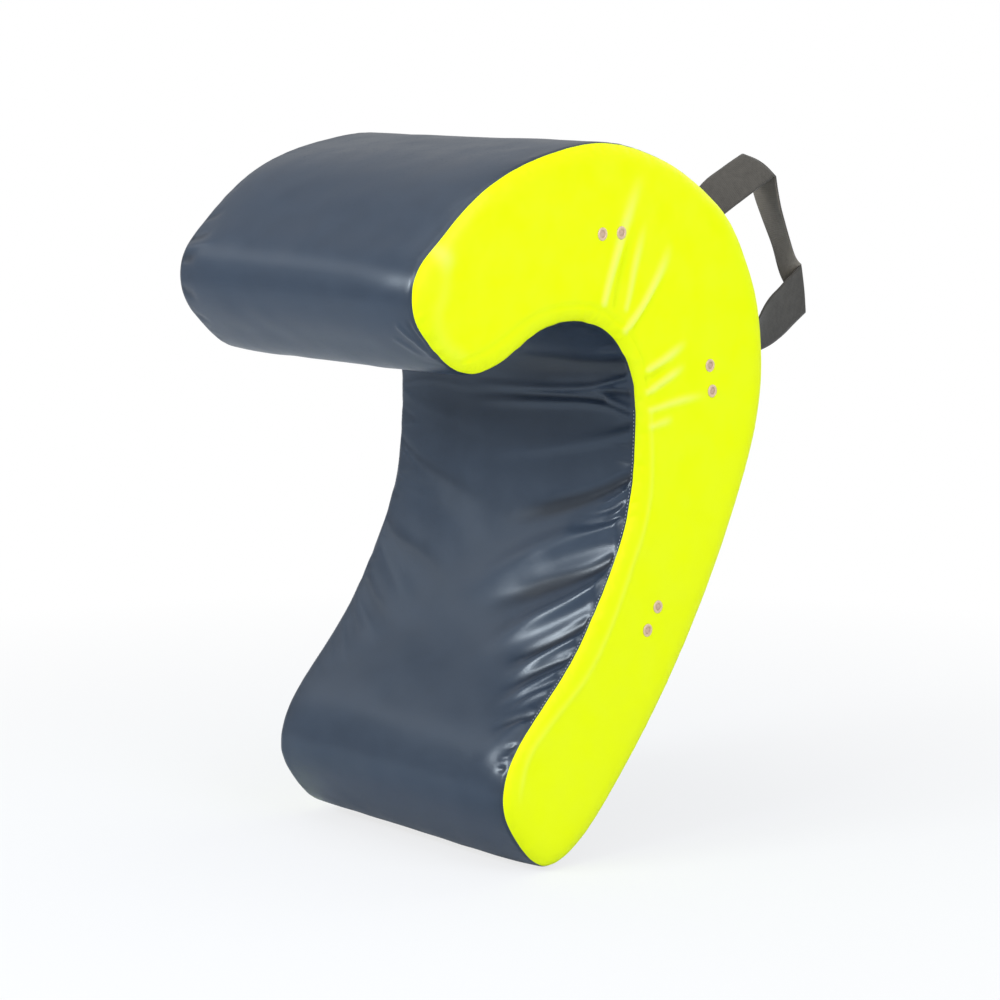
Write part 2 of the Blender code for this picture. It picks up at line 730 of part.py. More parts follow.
print("origin above the foot and behind the body's middle", ORIGIN[1], ORIGIN[0])
print("zip arc centre", world(0, ARC_CENTRE)[:])
print("handle top anchor, top fold, low fold, low anchor")
for corner in (TOP_ANCHOR, TOP_FOLD, LOW_FOLD, LOW_ANCHOR):
    print("  ", world(0, corner)[:])
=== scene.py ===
# %% [markdown]
# # Tackle shield
# A hooked foam shield for tackling practice, dressed for its photograph. A sewn vinyl cover is
# pulled over shaped foam: two bright yellow side panels, a dark slate wrap round the hook, and a
# back with a zip and two webbing handles. This lesson builds the cover's folds and seams, the
# webbing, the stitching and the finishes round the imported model, which stays as a fixed frame.

# %% Load the fixed frame
import math

import bmesh
import bpy
import numpy as np
from mathutils import Matrix, Vector
from mathutils.kdtree import KDTree


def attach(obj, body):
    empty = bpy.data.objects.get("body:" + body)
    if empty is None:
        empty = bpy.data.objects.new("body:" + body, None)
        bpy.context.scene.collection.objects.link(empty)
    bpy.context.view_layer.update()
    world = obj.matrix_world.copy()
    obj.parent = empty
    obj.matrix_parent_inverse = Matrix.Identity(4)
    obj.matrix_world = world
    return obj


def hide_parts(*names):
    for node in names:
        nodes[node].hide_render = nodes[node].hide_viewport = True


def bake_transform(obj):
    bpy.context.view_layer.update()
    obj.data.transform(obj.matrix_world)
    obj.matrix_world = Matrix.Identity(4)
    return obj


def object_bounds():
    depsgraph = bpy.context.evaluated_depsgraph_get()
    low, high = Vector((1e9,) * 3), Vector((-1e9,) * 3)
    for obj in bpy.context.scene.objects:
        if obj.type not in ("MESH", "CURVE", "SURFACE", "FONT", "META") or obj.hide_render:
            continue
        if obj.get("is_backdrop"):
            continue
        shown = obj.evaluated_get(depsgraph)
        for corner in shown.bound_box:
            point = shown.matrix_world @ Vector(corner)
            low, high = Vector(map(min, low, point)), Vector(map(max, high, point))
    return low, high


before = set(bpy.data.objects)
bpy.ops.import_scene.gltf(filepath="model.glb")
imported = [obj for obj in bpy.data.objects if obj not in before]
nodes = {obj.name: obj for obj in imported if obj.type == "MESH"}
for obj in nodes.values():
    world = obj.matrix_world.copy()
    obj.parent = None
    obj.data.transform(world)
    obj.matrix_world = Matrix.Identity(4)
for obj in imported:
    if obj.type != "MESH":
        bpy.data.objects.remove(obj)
cad_low, cad_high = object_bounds()
print("the model's box", [round(v, 4) for v in (*cad_low, *cad_high)])

# %% [markdown]
# The camera comes first, because every later choice is judged through it. It stands to the
# front and right of the shield, a little above its middle, far enough away for the two side
# edges of the hook to look almost parallel. Its place was fitted to the photograph once.

# %% Place the camera
VIEW_AZIMUTH = math.radians(46.0)
VIEW_ELEVATION = math.radians(8.68)
VIEW_DISTANCE = 3.794
VIEW_TARGET = Vector((0.0, -0.36794, -0.29162))
VIEW_LENS = 117.45

view_way = Vector((
    math.sin(VIEW_AZIMUTH) * math.cos(VIEW_ELEVATION),
    -math.cos(VIEW_AZIMUTH) * math.cos(VIEW_ELEVATION),
    math.sin(VIEW_ELEVATION),
))
link_object = bpy.context.scene.collection.objects.link
camera = bpy.data.objects.new("camera", bpy.data.cameras.new("camera"))
link_object(camera)
camera.location = VIEW_TARGET + VIEW_DISTANCE * view_way
camera.rotation_euler = (-view_way).to_track_quat("-Z", "Y").to_euler()
camera.data.sensor_width = 36
camera.data.lens = VIEW_LENS
bpy.context.scene.camera = camera
bpy.context.scene.view_settings.view_transform = "Standard"
print("camera at", [round(v, 3) for v in camera.location])

# %% [markdown]
# The side view of the shield is one closed curve through a few dozen points, each written as a
# share of the body's depth and height. The cover's sheets all follow it, so the curve is turned
# into a dense table first: a place, an outward direction and the distance walked so far.

# %% Trace the body's outline
SIDES = (("right", 1), ("left", -1))
BODY_WIDTH, BODY_DEPTH, BODY_HEIGHT = 0.4, 0.553, 0.8
BODY_BEHIND, BODY_UNDER = 0.4069413, 0.6720211
BACK_RADIUS, BACK_SPANS = 1.156, 9
UPPER_BACK = (
    (0.01, 1.0), (0.12, 0.988), (0.223, 0.963), (0.317, 0.925), (0.396, 0.878),
    (0.443, 0.825), (0.477, 0.77), (0.493, 0.712), (0.497, 0.653), (0.485, 0.595), (0.461, 0.54),
)
TOE = (
    (0.014, 0.061), (-0.052, 0.022), (-0.135, 0.002), (-0.22, 0.047), (-0.257, 0.102),
    (-0.239, 0.154), (-0.191, 0.197),
)
HOLLOW = (
    (-0.072, 0.279), (0.02, 0.37), (0.09, 0.469), (0.115, 0.581), (0.092, 0.694), (0.026, 0.742),
    (-0.08, 0.76), (-0.179, 0.745), (-0.263, 0.7135),
)
NOSE = (
    (-0.36, 0.704), (-0.443, 0.74), (-0.492, 0.787), (-0.488, 0.836), (-0.433, 0.877),
    (-0.367, 0.916), (-0.288, 0.951), (-0.198, 0.976), (-0.099, 0.9925),
)


def placed(shares):
    """Points in metres from shares of the body's depth and height."""
    return list(np.array(shares) * (BODY_DEPTH, BODY_HEIGHT) - (BODY_BEHIND, BODY_UNDER))


def back_arc(top, bottom):
    """Points on the circular back, between its two ends."""
    half = (top - bottom) / 2
    inward = np.array((-half[1], half[0])) / np.linalg.norm(half)
    centre = bottom + half + inward * math.sqrt(BACK_RADIUS**2 - half @ half)
    first, last = (math.atan2(*(end - centre)[::-1]) for end in (top, bottom))
    turns = np.linspace(first, last, BACK_SPANS + 1)[1:-1]
    return [centre + BACK_RADIUS * np.array((math.cos(a), math.sin(a))) for a in turns]


upper, lower = placed(UPPER_BACK), placed(TOE)
arc = back_arc(upper[-1], lower[0])
OUTLINE = np.array(upper + arc + lower + placed(HOLLOW) + placed(NOSE))
OUTLINE_POINTS = len(OUTLINE)


def even_slopes(points):
    """Slopes at the points that make a closed cubic curve through them bend evenly."""
    count = len(points)
    chords = np.linalg.norm(np.roll(points, -1, 0) - points, axis=1)
    system, goal = np.zeros((count, count)), np.zeros((count, 2))
    for i in range(count):
        before, after, following = chords[i - 1], chords[i], (i + 1) % count
        system[i, i - 1] += 1 / before
        system[i, i] += 2 / before + 2 / after
        system[i, following] += 1 / after
        goal[i] = 3 * (points[i] - points[i - 1]) / before**2
        goal[i] += 3 * (points[following] - points[i]) / after**2
    return np.linalg.solve(system, goal), chords


def walked_along(points):
    """How far each point of a row lies along it."""
    steps = np.linalg.norm(np.diff(points, axis=0), axis=1)
    return np.concatenate([[0], np.cumsum(steps)])


slopes, chords = even_slopes(OUTLINE)
table_at = np.arange(0, OUTLINE_POINTS, 0.01)
index = table_at.astype(int)
following = (index + 1) % OUTLINE_POINTS
t = (table_at - index)[:, None]
leave, arrive = slopes[index] * chords[index, None], slopes[following] * chords[index, None]
table_place = OUTLINE[index] + (OUTLINE[following] - OUTLINE[index]) * (3 * t**2 - 2 * t**3)
table_place += leave * (t - 2 * t**2 + t**3) + arrive * (t**3 - t**2)
closed_walk = walked_along(np.vstack([table_place, table_place[:1]]))
OUTLINE_LENGTH, table_walk = closed_walk[-1], closed_walk[:-1]
table_way = np.roll(table_place, -1, 0) - np.roll(table_place, 1, 0)
table_way /= np.linalg.norm(table_way, axis=1)[:, None]
closed_table = np.column_stack([table_place, table_way])
closed_table = np.vstack([closed_table, closed_table[:1]])
print("outline", round(OUTLINE_LENGTH, 4), "m round")

# %% [markdown]
# A place on the cover has three numbers: how far it lies along the outline, how far across the
# body, and how high it stands over the seams. Along the outline the walk starts on the crown and
# goes down the back, round the toe, up the hollow and back over the nose. The wrap is a little
# crowned between its two seams, as cloth over foam is.

# %% Turn a place on the cover into a point
WRAP_CROWN, SIDE_CROWN = 0.006, 0.0073
SEAM_X = BODY_WIDTH / 2 - SIDE_CROWN


def walk_at(point):
    """How far along the outline one of its numbered points lies."""
    return float(np.interp(point, table_at, table_walk))


def outline_at(walk):
    """Depth and height, and the outward direction, at distances along the outline."""
    walk = np.asarray(walk) % OUTLINE_LENGTH
    y, z, way_y, way_z = (np.interp(walk, closed_walk, column) for column in closed_table.T)
    length = np.hypot(way_y, way_z)
    return y, z, -way_z / length, way_y / length


def wrap_lift(x):
    """The wrap's crown over its seams."""
    return WRAP_CROWN * (1 - np.clip(np.abs(x) / SEAM_X, 0, 1) ** 6)


def eased(table, step=0.002, reach=5):
    """A smooth curve through a few (distance, value) pairs, as a function."""
    places, values = np.array(table).T
    dense = np.arange(places[0], places[-1], step)
    curve = np.interp(dense, places, values)
    window = np.full(2 * reach + 1, 1 / (2 * reach + 1))
    for _ in range(3):
        curve = np.convolve(np.pad(curve, reach, mode="edge"), window, mode="valid")
    return lambda walk: np.interp(walk, dense, curve)


# How full the wrap is between its seams, from the heel seam round to the crown seam.
fullness = eased((
    (1.0, 1.0), (1.04, 1.0), (1.09, 0.15), (1.17, 0.2), (1.26, 1.0), (1.93, 1.0), (1.99, 0.35),
    (2.07, 0.35), (2.15, 1.0), (2.29, 1.0), (2.39, 0.1), (2.58, 0.0), (2.63, 1.0), (2.7, 1.0),
))
# How far the cloth stands off the outline at each side seam. The far seam is pulled in at the toe.
swell = {
    1: eased(((0.0, 0.0016), (2.8, 0.0016))),
    -1: eased((
        (0.0, 0.0012), (0.98, 0.0012), (1.03, -0.002), (1.09, -0.0075), (1.15, -0.007),
        (1.21, -0.006), (1.25, -0.004), (1.3, -0.0015), (1.36, 0.001), (1.45, 0.0018),
        (1.54, 0.0036), (1.66, 0.0036), (1.75, 0.0012), (2.1, 0.0008), (2.16, 0.0038),
        (2.21, 0.0066), (2.29, 0.0058), (2.36, 0.0032), (2.42, 0.0012), (2.8, 0.0012),
    )),
}


def smooth(low, high, value):
    """A soft step from 0 at the low end to 1 at the high end."""
    t = np.clip((value - low) / (high - low), 0, 1)
    return t * t * (3 - 2 * t)


def cover_points(walk, x, lift, swell_width=2 * SEAM_X):
    """Points of the wrap or the back, with a lift over the crowned surface."""
    y, z, out_y, out_z = outline_at(walk)
    height = wrap_lift(x) * fullness(walk) + lift
    for side in (1, -1):
        height += swell[side](walk) * smooth(SEAM_X - swell_width, SEAM_X, side * x)
    return np.stack([x, y + out_y * height, z + out_z * height], axis=1)


CROWN_SEAM, YOKE_SEAM, HEEL_SEAM = walk_at(3), walk_at(10), walk_at(20)
print("seams at", round(CROWN_SEAM, 3), round(YOKE_SEAM, 3), round(HEEL_SEAM, 3))

# %% [markdown]
# Vinyl can't stretch much, so spare cloth shows as folds. Each fold here is a soft ridge or a
# valley along a short line, strongest near the seam that gathers it and fading into the panel.
# A small helper adds up such folds for every vertex of a sheet.

# %% Add up folds
NOISE_CELLS = 96


def rounded(points):
    """A line with its corners cut twice, so that a fold bends softly."""
    points = np.asarray(points, float)
    for _ in range(2):
        here, ahead = points[:-1], points[1:]
        cut = np.stack([0.75 * here + 0.25 * ahead, 0.25 * here + 0.75 * ahead], axis=1)
        points = np.concatenate([points[:1], cut.reshape(-1, 2)[1:-1], points[-1:]])
    return points


def fold_heights(spots, folds, fade_from=0.45):
    """Height of the folds at spots on a flat map. A fold is (points, height, width, far width)."""
    total = np.zeros(len(spots))
    for points, height, width, far_width in folds:
        points = rounded(points)
        lengths = np.linalg.norm(np.diff(points, axis=0), axis=1)
        whole = lengths.sum()
        reach = 3 * max(width, far_width)
        low, high = points.min(0) - reach, points.max(0) + reach
        near = np.flatnonzero(((spots > low) & (spots < high)).all(1))
        best, along = np.full(len(near), np.inf), np.zeros(len(near))
        walked = 0.0
        for start, end, length in zip(points, points[1:], lengths):
            way = (end - start) / length
            offset = spots[near] - start
            t = np.clip(offset @ way, 0, length)
            away = np.linalg.norm(offset - t[:, None] * way, axis=1)
            closer = away < best
            best[closer], along[closer] = away[closer], (walked + t[closer]) / whole
            walked += length
        wide = width + (far_width - width) * along
        total[near] += height * np.exp(-((best / wide) ** 2)) * (1 - smooth(fade_from, 1.0, along))
    return total


def value_noise(spots, cell, seed):
    """Smooth random heights from -1 to 1 on a flat map, the same at each run."""
    random = np.random.default_rng(seed)
    grid = random.uniform(-1, 1, (NOISE_CELLS + 1, NOISE_CELLS + 1))
    scaled = spots / cell
    base = np.floor(scaled).astype(int)
    part = scaled - base
    part = part * part * (3 - 2 * part)
    i, j = base.T % NOISE_CELLS
    near = grid[i, j] * (1 - part[:, 1]) + grid[i, j + 1] * part[:, 1]
    far = grid[i + 1, j] * (1 - part[:, 1]) + grid[i + 1, j + 1] * part[:, 1]
    return near * (1 - part[:, 0]) + far * part[:, 0]


def puffed(lift, spots, from_edge, seed, layers):
    """Adds soft unevenness. A layer is (height, cell, shift of its noise, way to full height)."""
    for number, (height, cell, shift, full) in enumerate(layers):
        noise = value_noise(spots + shift, cell, seed + number)
        lift = lift + height * noise * smooth(0.0, full, from_edge)
    return lift


# %% [markdown]
# The side seams pull the cloth into small gathers. Both sheets of a seam share them, so the dip
# of the seam line itself is worked out once for each side. Gathers are stronger in the hollow,
# where the wrap is longer than the seam that holds it.

# %% Gather the side seams
SEAM_GROOVE, GROOVE_WIDTH, GATHER_REACH, SEAM_WAVE = 0.0013, 0.0022, 0.007, 0.0007
CALM_GATHERS = 0.35
HOLLOW_START, HOLLOW_END = walk_at(26), walk_at(37)


def gather_strength(walk):
    """How much of the full gathers the seams have at distances along the outline."""
    walk = np.asarray(walk) % OUTLINE_LENGTH
    entering = smooth(HOLLOW_START, HOLLOW_START + 0.06, walk)
    hollow = entering * (1 - smooth(HOLLOW_END - 0.05, HOLLOW_END, walk))
    return CALM_GATHERS + (1 - CALM_GATHERS) * hollow


def seam_dip(walk, side):
    """How far the gathers pull the seam line in or out."""
    walk = np.asarray(walk) % OUTLINE_LENGTH
    spots = np.stack([walk, np.full(len(walk), 0.5)], axis=1)
    seed = 11 if side > 0 else 12
    waves = value_noise(spots, 0.011, seed) + 0.6 * value_noise(spots, 0.027, seed + 20)
    fade = smooth(0, 0.02, walk) * (1 - smooth(OUTLINE_LENGTH - 0.02, OUTLINE_LENGTH, walk))
    return SEAM_WAVE * waves * gather_strength(walk) * fade


def small_gathers(side, seed, ends, spacing=0.014, size=1.0):
    """Short random folds that run into the wrap from one side seam."""
    random = np.random.default_rng(seed)
    folds, walk = [], ends[0]
    while walk < ends[1]:
        strength = float(gather_strength(walk))
        walk += spacing * random.uniform(0.45, 1.6) / (0.6 + 0.4 * strength)
        reach = random.uniform(0.008, 0.03) * (0.6 + 0.9 * strength)
        lean = random.uniform(-0.35, 0.35) * reach
        start = (walk, side * (SEAM_X - 0.001))
        end = (walk - lean, side * (SEAM_X - reach))
        height = size * random.choice((-1, 1)) * random.uniform(0.0004, 0.0012)
        height *= 0.45 + 0.55 * strength
        folds.append(((start, end), height, random.uniform(0.0018, 0.0032), 0.0045))
    return folds


# %% [markdown]
# The wrap's own folds are read off the photograph, in millimetres along the outline and across
# the body. Most start at the right seam of the hollow and run down and inwards. The hidden left
# half has folds of the same kind in other places.

# %% List the wrap's folds
def metres(folds):
    """A list of folds, turned from millimetres into metres."""
    return [(np.array(line) / 1000, *(size / 1000 for size in sizes)) for line, *sizes in folds]


# Each row has the fold's line as (along, across) points, its height, its width and its far width.
RIGHT_HOLLOW_FOLDS = metres((
    (((1730, 191), (1724, 105), (1714, -60)), -5, 9, 17),
    (((1716, 191), (1707, 160), (1698, 128), (1690, 48), (1684, -90)), 2.6, 3, 8),
    (((1677, 191), (1687, 160), (1697, 130)), 2.6, 3, 3.4),
    (((1697, 184), (1697, 144)), -2.6, 3.8, 2.6),
    (((1668, 191), (1682, 142), (1674, 46), (1665, -100)), 2.2, 3, 7.5),
    (((1686, 150), (1683, 50), (1676, -90)), -1.8, 3.5, 7),
    (((1652, 191), (1638, 142), (1620, 48), (1594, -120)), 2.2, 5.5, 16),
    (((1602, 191), (1578, 150), (1556, 92), (1526, 0)), -6, 4.6, 14),
    (((1586, 191), (1570, 170), (1552, 136)), 3.4, 2.8, 6),
    (((1569, 191), (1556, 181), (1546, 166)), 2.2, 2.4, 4),
    (((1556, 191), (1540, 160), (1528, 110)), -3.6, 3.6, 8),
    (((1546, 188), (1512, 106), (1476, 46), (1410, -30)), 8.2, 13, 29),
    (((1506, 191), (1484, 166), (1462, 116), (1420, 26)), -5.6, 5, 15),
    (((1474, 191), (1450, 166), (1427, 134), (1362, 50)), 8.6, 8.5, 19),
    (((1430, 191), (1400, 164), (1352, 106)), -4.6, 4.6, 10),
    (((1407, 191), (1384, 164), (1336, 116)), 5, 4.4, 10),
    (((1384, 191), (1358, 160), (1314, 122)), -3.2, 3.6, 8),
    (((1364, 191), (1340, 170), (1300, 132)), 4.6, 4, 8),
    (((1339, 191), (1324, 174), (1296, 154)), 2.6, 2.6, 5),
    (((1302, 191), (1290, 172), (1268, 146)), -2.2, 3.6, 7),
    (((1286, 180), (1250, 160), (1206, 145)), 1.4, 8, 16),
    (((1262, 191), (1250, 176)), -2.2, 2.2, 3),
    (((1247, 191), (1240, 174)), 1.8, 2, 3),
    (((1232, 191), (1230, 176)), -1.8, 2.2, 3),
))
NOSE_FOLDS = metres((
    (((2100, 166), (2070, 182), (2040, 186)), 1.6, 3, 4),
    (((2102, 184), (2060, 190)), -1.2, 2.6, 3),
    (((2080, 150), (2050, 172)), 1, 4, 5),
    (((2176, -191), (2180, -150)), -2, 5, 7),
    (((2150, -191), (2152, -158)), -2.2, 4.5, 7),
    (((2163, -191), (2170, -130)), 1.2, 4, 6),
    (((2118, -191), (2110, -160)), -1.6, 4.5, 7),
    (((2205, -191), (2214, -160)), -1.4, 5, 7),
    (((2086, -191), (2075, -165)), -1.3, 4.5, 6),
))


def mirrored_folds(folds, shift, size):
    """The same kind of folds on the left, moved along and made a little unlike."""
    out = []
    for number, (points, height, width, far_width) in enumerate(folds):
        step = shift + 0.006 * math.sin(2.3 * number)
        moved = tuple((walk + step, -x if abs(x) > 0.12 else -x * 0.8) for walk, x in points)
        out.append((moved, size * height, width, far_width))
    return out


wrap_folds = RIGHT_HOLLOW_FOLDS + NOSE_FOLDS
wrap_folds += mirrored_folds(RIGHT_HOLLOW_FOLDS[2:], 0.011, 0.2)
wrap_folds += small_gathers(1, 3, (HEEL_SEAM, OUTLINE_LENGTH + 0.17), 0.018, 0.65)
wrap_folds += small_gathers(-1, 4, (HEEL_SEAM, OUTLINE_LENGTH + 0.17), 0.018, 0.55)
print(len(wrap_folds), "folds on the wrap")

# %% [markdown]
# Each sheet of the wrap starts as a flat grid. Its columns crowd towards the seams, where the
# gathers are fine, and its vertices are then laid on the body. Moving the vertices of a grid
# keeps clean rows, which a subdivided cube would not. The first and last columns dive into the
# seam, as a seam allowance does.

# %% Lay a grid on the body
CROWDING, DEEPEST_VALLEY = 0.35, 0.0034
CROSS_GROOVE, CROSS_GROOVE_WIDTH, SEAM_SHADE = 0.0012, 0.002, 0.012
SEAM_PIN, CROSS_PIN, FULL_CREST = (0.0005, 0.007), (0.0005, 0.012), 0.004
WRAP_PUFFS = ((0.0009, 0.085, 5, 0.05), (0.00035, 0.03, 9, 0.02))


def shown(mesh, *materials):
    """A smooth object that shows a mesh."""
    mesh.shade_smooth()
    for material in materials:
        mesh.materials.append(material)
    piece = bpy.data.objects.new(mesh.name, mesh)
    link_object(piece)
    return piece


def new_piece(name, bm, *materials):
    """A smooth object made from a bmesh."""
    mesh = bpy.data.meshes.new(name)
    bm.to_mesh(mesh)
    bm.free()
    return shown(mesh, *materials)


def mesh_points(piece):
    """The places of all vertices, as rows."""
    points = np.zeros(len(piece.data.vertices) * 3)
    piece.data.vertices.foreach_get("co", points)
    return points.reshape(-1, 3)


def set_points(piece, points):
    """Moves all vertices at once."""
    piece.data.vertices.foreach_set("co", np.ascontiguousarray(points, np.float32).ravel())
    piece.data.update()


def add_values(piece, name, values):
    """A value at each vertex that the material can read."""
    layer = piece.data.attributes.new(name, "FLOAT", "POINT")
    layer.data.foreach_set("value", np.asarray(values, np.float32))


def lay_map(piece, across, along):
    """A map in metres, from each vertex's place across and along the cloth."""
    layer = piece.data.uv_layers.new(name="UVMap")
    corners = np.zeros(len(piece.data.loops), int)
    piece.data.loops.foreach_get("vertex_index", corners)
    flat = np.stack([across[corners], along[corners]], axis=1)
    layer.data.foreach_set("uv", flat.astype(np.float32).ravel())


def flat_grid(name, columns, rows):
    """A grid, with the places from 0 to 1 of its vertices across and along it."""
    bm = bmesh.new()
    bmesh.ops.create_grid(bm, x_segments=columns, y_segments=rows, size=0.5)
    bmesh.ops.translate(bm, verts=bm.verts, vec=(0.5, 0.5, 0))
    piece = new_piece(name, bm)
    u, v, _ = mesh_points(piece).T
    return piece, u, v


def crowded(u):
    """Spreads columns so that they crowd towards both seams."""
    side = np.abs(2 * u - 1)
    return np.sign(2 * u - 1) * (CROWDING * side + (1 - CROWDING) * (1 - (1 - side) ** 2))


def wrap_sheet(name, start, end, left, right, rows, columns, folds, seed, swell_width=2 * SEAM_X):
    """A sheet of the wrap from one cross seam to the next, with its folds and gathers."""
    sheet, u, v = flat_grid(name, columns, rows)
    x = (left + right) / 2 + crowded(u) * (right - left) / 2
    walk = start + v * (end - start)
    spots = np.stack([walk, x], axis=1)
    from_right, from_left = SEAM_X - x, SEAM_X + x
    edge = np.minimum(from_right, from_left)
    ends = np.minimum(walk - start, end - walk)
    pinned = smooth(*SEAM_PIN, edge) * smooth(*CROSS_PIN, ends)
    folded = fold_heights(spots, folds)
    valleys = DEEPEST_VALLEY * np.tanh(folded / DEEPEST_VALLEY)
    lift = np.where(folded < 0, valleys, folded) * pinned
    lift = puffed(lift, spots, edge, seed, WRAP_PUFFS)
    for side, away in ((1, from_right), (-1, from_left)):
        lift += seam_dip(walk, side) * np.exp(-away / GATHER_REACH)
    lift -= SEAM_GROOVE * np.exp(-((edge / GROOVE_WIDTH) ** 2))
    lift -= CROSS_GROOVE * np.exp(-((ends / CROSS_GROOVE_WIDTH) ** 2)) * smooth(0.0, 0.004, edge)
    set_points(sheet, cover_points(walk, x, lift, swell_width))
    # The crest values mask a painted highlight on the fold crests and painted shade in the valleys;
    # the seam values mask painted shade along the seams.
    add_values(sheet, "crest", np.clip(folded / FULL_CREST, -1, 1))
    add_values(sheet, "seam_near", np.exp(-edge / SEAM_SHADE) + np.exp(-ends / SEAM_SHADE))
    return sheet


wrap_cover = wrap_sheet(
    "front_wrap_cover", HEEL_SEAM, OUTLINE_LENGTH + CROWN_SEAM, -SEAM_X, SEAM_X, 640, 84,
    wrap_folds, 31,
)
print("wrap", len(wrap_cover.data.polygons), "faces")

# %% [markdown]
# The side seams and the cross seams split the cover into sheets. The back has three more: a yoke
# that carries the handles and a panel on each side of the zip. They use the same helper, with
# calmer cloth, because the firm foam behind them fills them out.

# %% Lay the back sheets
ZIP_SLOT, BACK_SWELL = 0.011, 0.045
back_gathers = small_gathers(1, 21, (CROWN_SEAM, HEEL_SEAM), 0.024)
back_gathers += small_gathers(-1, 22, (CROWN_SEAM, HEEL_SEAM), 0.024)
yoke_cover = wrap_sheet(
    "back_yoke_cover", CROWN_SEAM, YOKE_SEAM, -SEAM_X, SEAM_X, 120, 72, back_gathers, 41, BACK_SWELL
)
back_covers = {}
for side, sign in SIDES:
    low, high = sorted((sign * ZIP_SLOT / 2, sign * SEAM_X))
    back_covers[side] = wrap_sheet(
        f"back_panel_{side}_cover", YOKE_SEAM, HEEL_SEAM, low, high, 180, 40,
        back_gathers, 43 + sign, BACK_SWELL,
    )
print("back sheets", 1 + len(back_covers))

# %% [markdown]
# The near side panel's creases are read off the photograph too, in depth and height. They fan out
# from the bend of the hook. A second list has the lines along the rim: the edge of the seam
# allowance that lies inside the cover, a groove beside it, and a soft band near the nose.

# %% List the side panel's creases
PANEL_CREASES = metres((
    (((-401, -46), (-393, -22), (-377, 16), (-361, 57), (-338, 100)), 2.2, 4, 8),
    (((-366, -54), (-361, -40), (-353, -8), (-334, 47)), 1.5, 3.4, 6),
    (((-365, -78), (-336, -53), (-309, -16), (-292, 20)), 2.7, 4, 6.5),
    (((-330, -126), (-303, -117), (-262, -96)), 2.1, 3.6, 5.5),
    (((-328, -151), (-303, -140), (-264, -124)), 2.2, 3.6, 4.5),
    (((-325, -172), (-278, -165), (-226, -162)), 1.6, 3, 5),
    (((-324, -191), (-284, -184)), 1.4, 3, 5),
    (((-384, -50), (-374, -10), (-352, 40)), -1.4, 3.6, 7),
    (((-352, -78), (-322, -44), (-300, -6)), -1.2, 3.2, 6),
    (((-330, -136), (-290, -122)), -1, 3, 4),
    (((-655, 30), (-625, 0)), 1.2, 8, 12),
))
PANEL_RIMS = metres((
    (((-324, -176), (-321, -252), (-331, -302), (-358, -356), (-382, -404),
      (-421, -462), (-476, -504), (-515, -538), (-527, -569), (-530, -600)),
     1, 2.8, 3.4),
    (((-613, -94), (-568, -81), (-524, -57), (-486, -46), (-440, -44), (-408, -50),
      (-376, -67), (-360, -79), (-344, -97), (-332, -121), (-324, -172)),
     -1.1, 2.6, 3),
    (((-613, -91), (-641, -76), (-654, -43), (-638, -18), (-641, 19), (-619, 49), (-568, 89)),
     0.6, 8, 9),
))


def edge_gathers(seed, spacing):
    """Short creases that run into a side panel from its seam, as (walk, distance) pairs."""
    random = np.random.default_rng(seed)
    creases, walk = [], 0.0
    while walk < OUTLINE_LENGTH:
        strength = float(gather_strength(walk))
        walk += spacing * random.uniform(0.5, 1.6) / (0.6 + 0.4 * strength)
        reach = random.uniform(0.007, 0.02) * (0.6 + 0.7 * strength)
        lean = random.uniform(-0.5, 0.5) * reach
        height = random.choice((-1, 1)) * random.uniform(0.0003, 0.0009) * (0.5 + 0.5 * strength)
        line = ((walk, 0.0), (walk + lean, reach))
        creases.append((line, height, random.uniform(0.0017, 0.003), 0.0045))
    return creases


# The far panel's creases are the near one's first eight, moved a little and weaker.
FAR_CREASES = [
    (tuple((y + 0.012, z - 0.035) for y, z in line), 0.8 * height, width, far)
    for line, height, width, far in PANEL_CREASES[:8]
]
print(len(PANEL_CREASES), "near and", len(FAR_CREASES), "far creases")

# %% [markdown]
# A side panel is flat cloth held at its rim, so it domes for the first three centimetres and is
# flat after that. It starts as one face with the outline's many corners. Insets make rings that
# follow the seam, and straight cuts make an even net over the middle, fine enough for creases.
# Six round holes take the eyelets, and the cloth lies flat round each.

# %% Make the side panels
SIDE_DRAW = 0.03
CREASE_PIN, GATHER_PIN, PANEL_FULL_CREST = (0.002, 0.012), (0.0003, 0.004), 0.0018
EYELET_FLAT, SWELL_REACH, SINK_REACH = (0.008, 0.022), 0.04, {1: 0.003, -1: 0.009}
PANEL_PUFFS = ((0.0006, 0.095, 3, 0.05), (0.00018, 0.034, 3, 0.03))
PANEL_STEP = 0.0023
EYELET_PAIRS = (((0.031, 0.8765), 0.0), ((0.3275, 0.66), -82.0), ((0.157, 0.3265), -124.0))
EYELET_HALF_SPACING, EYELET_OPENING = 0.015, 0.0055
PANEL_RINGS = (0.001, 0.001, 0.0014, 0.0018, 0.0026)
MERGE = 1e-6

eyelet_middles = []
for share, degrees in EYELET_PAIRS:
    middle = placed((share,))[0]
    way = np.array((math.cos(math.radians(degrees)), math.sin(math.radians(degrees))))
    eyelet_middles += [middle - way * EYELET_HALF_SPACING, middle + way * EYELET_HALF_SPACING]


def whole_geometry(faces):
    """Faces with their edges and corners, as the operators want them."""
    edges = {edge for face in faces for edge in face.edges}
    return list(faces) + list(edges) + list({vert for edge in edges for vert in edge.verts})


def cut_across(bm, parts, point, way):
    """Cuts geometry with one plane, and returns it with the new edges."""
    cut = bmesh.ops.bisect_plane(bm, geom=parts, dist=MERGE, plane_co=point, plane_no=way)
    return cut["geom"]


def cut_net(bm, faces, low, high, step):
    """Cuts faces with even planes square to Y and to Z."""
    parts = whole_geometry(faces)
    for axis, way in ((1, Vector((0, 1, 0))), (2, Vector((0, 0, 1)))):
        for place in np.arange(low[axis] + step / 2, high[axis], step):
            parts = cut_across(bm, parts, way * float(place), way)


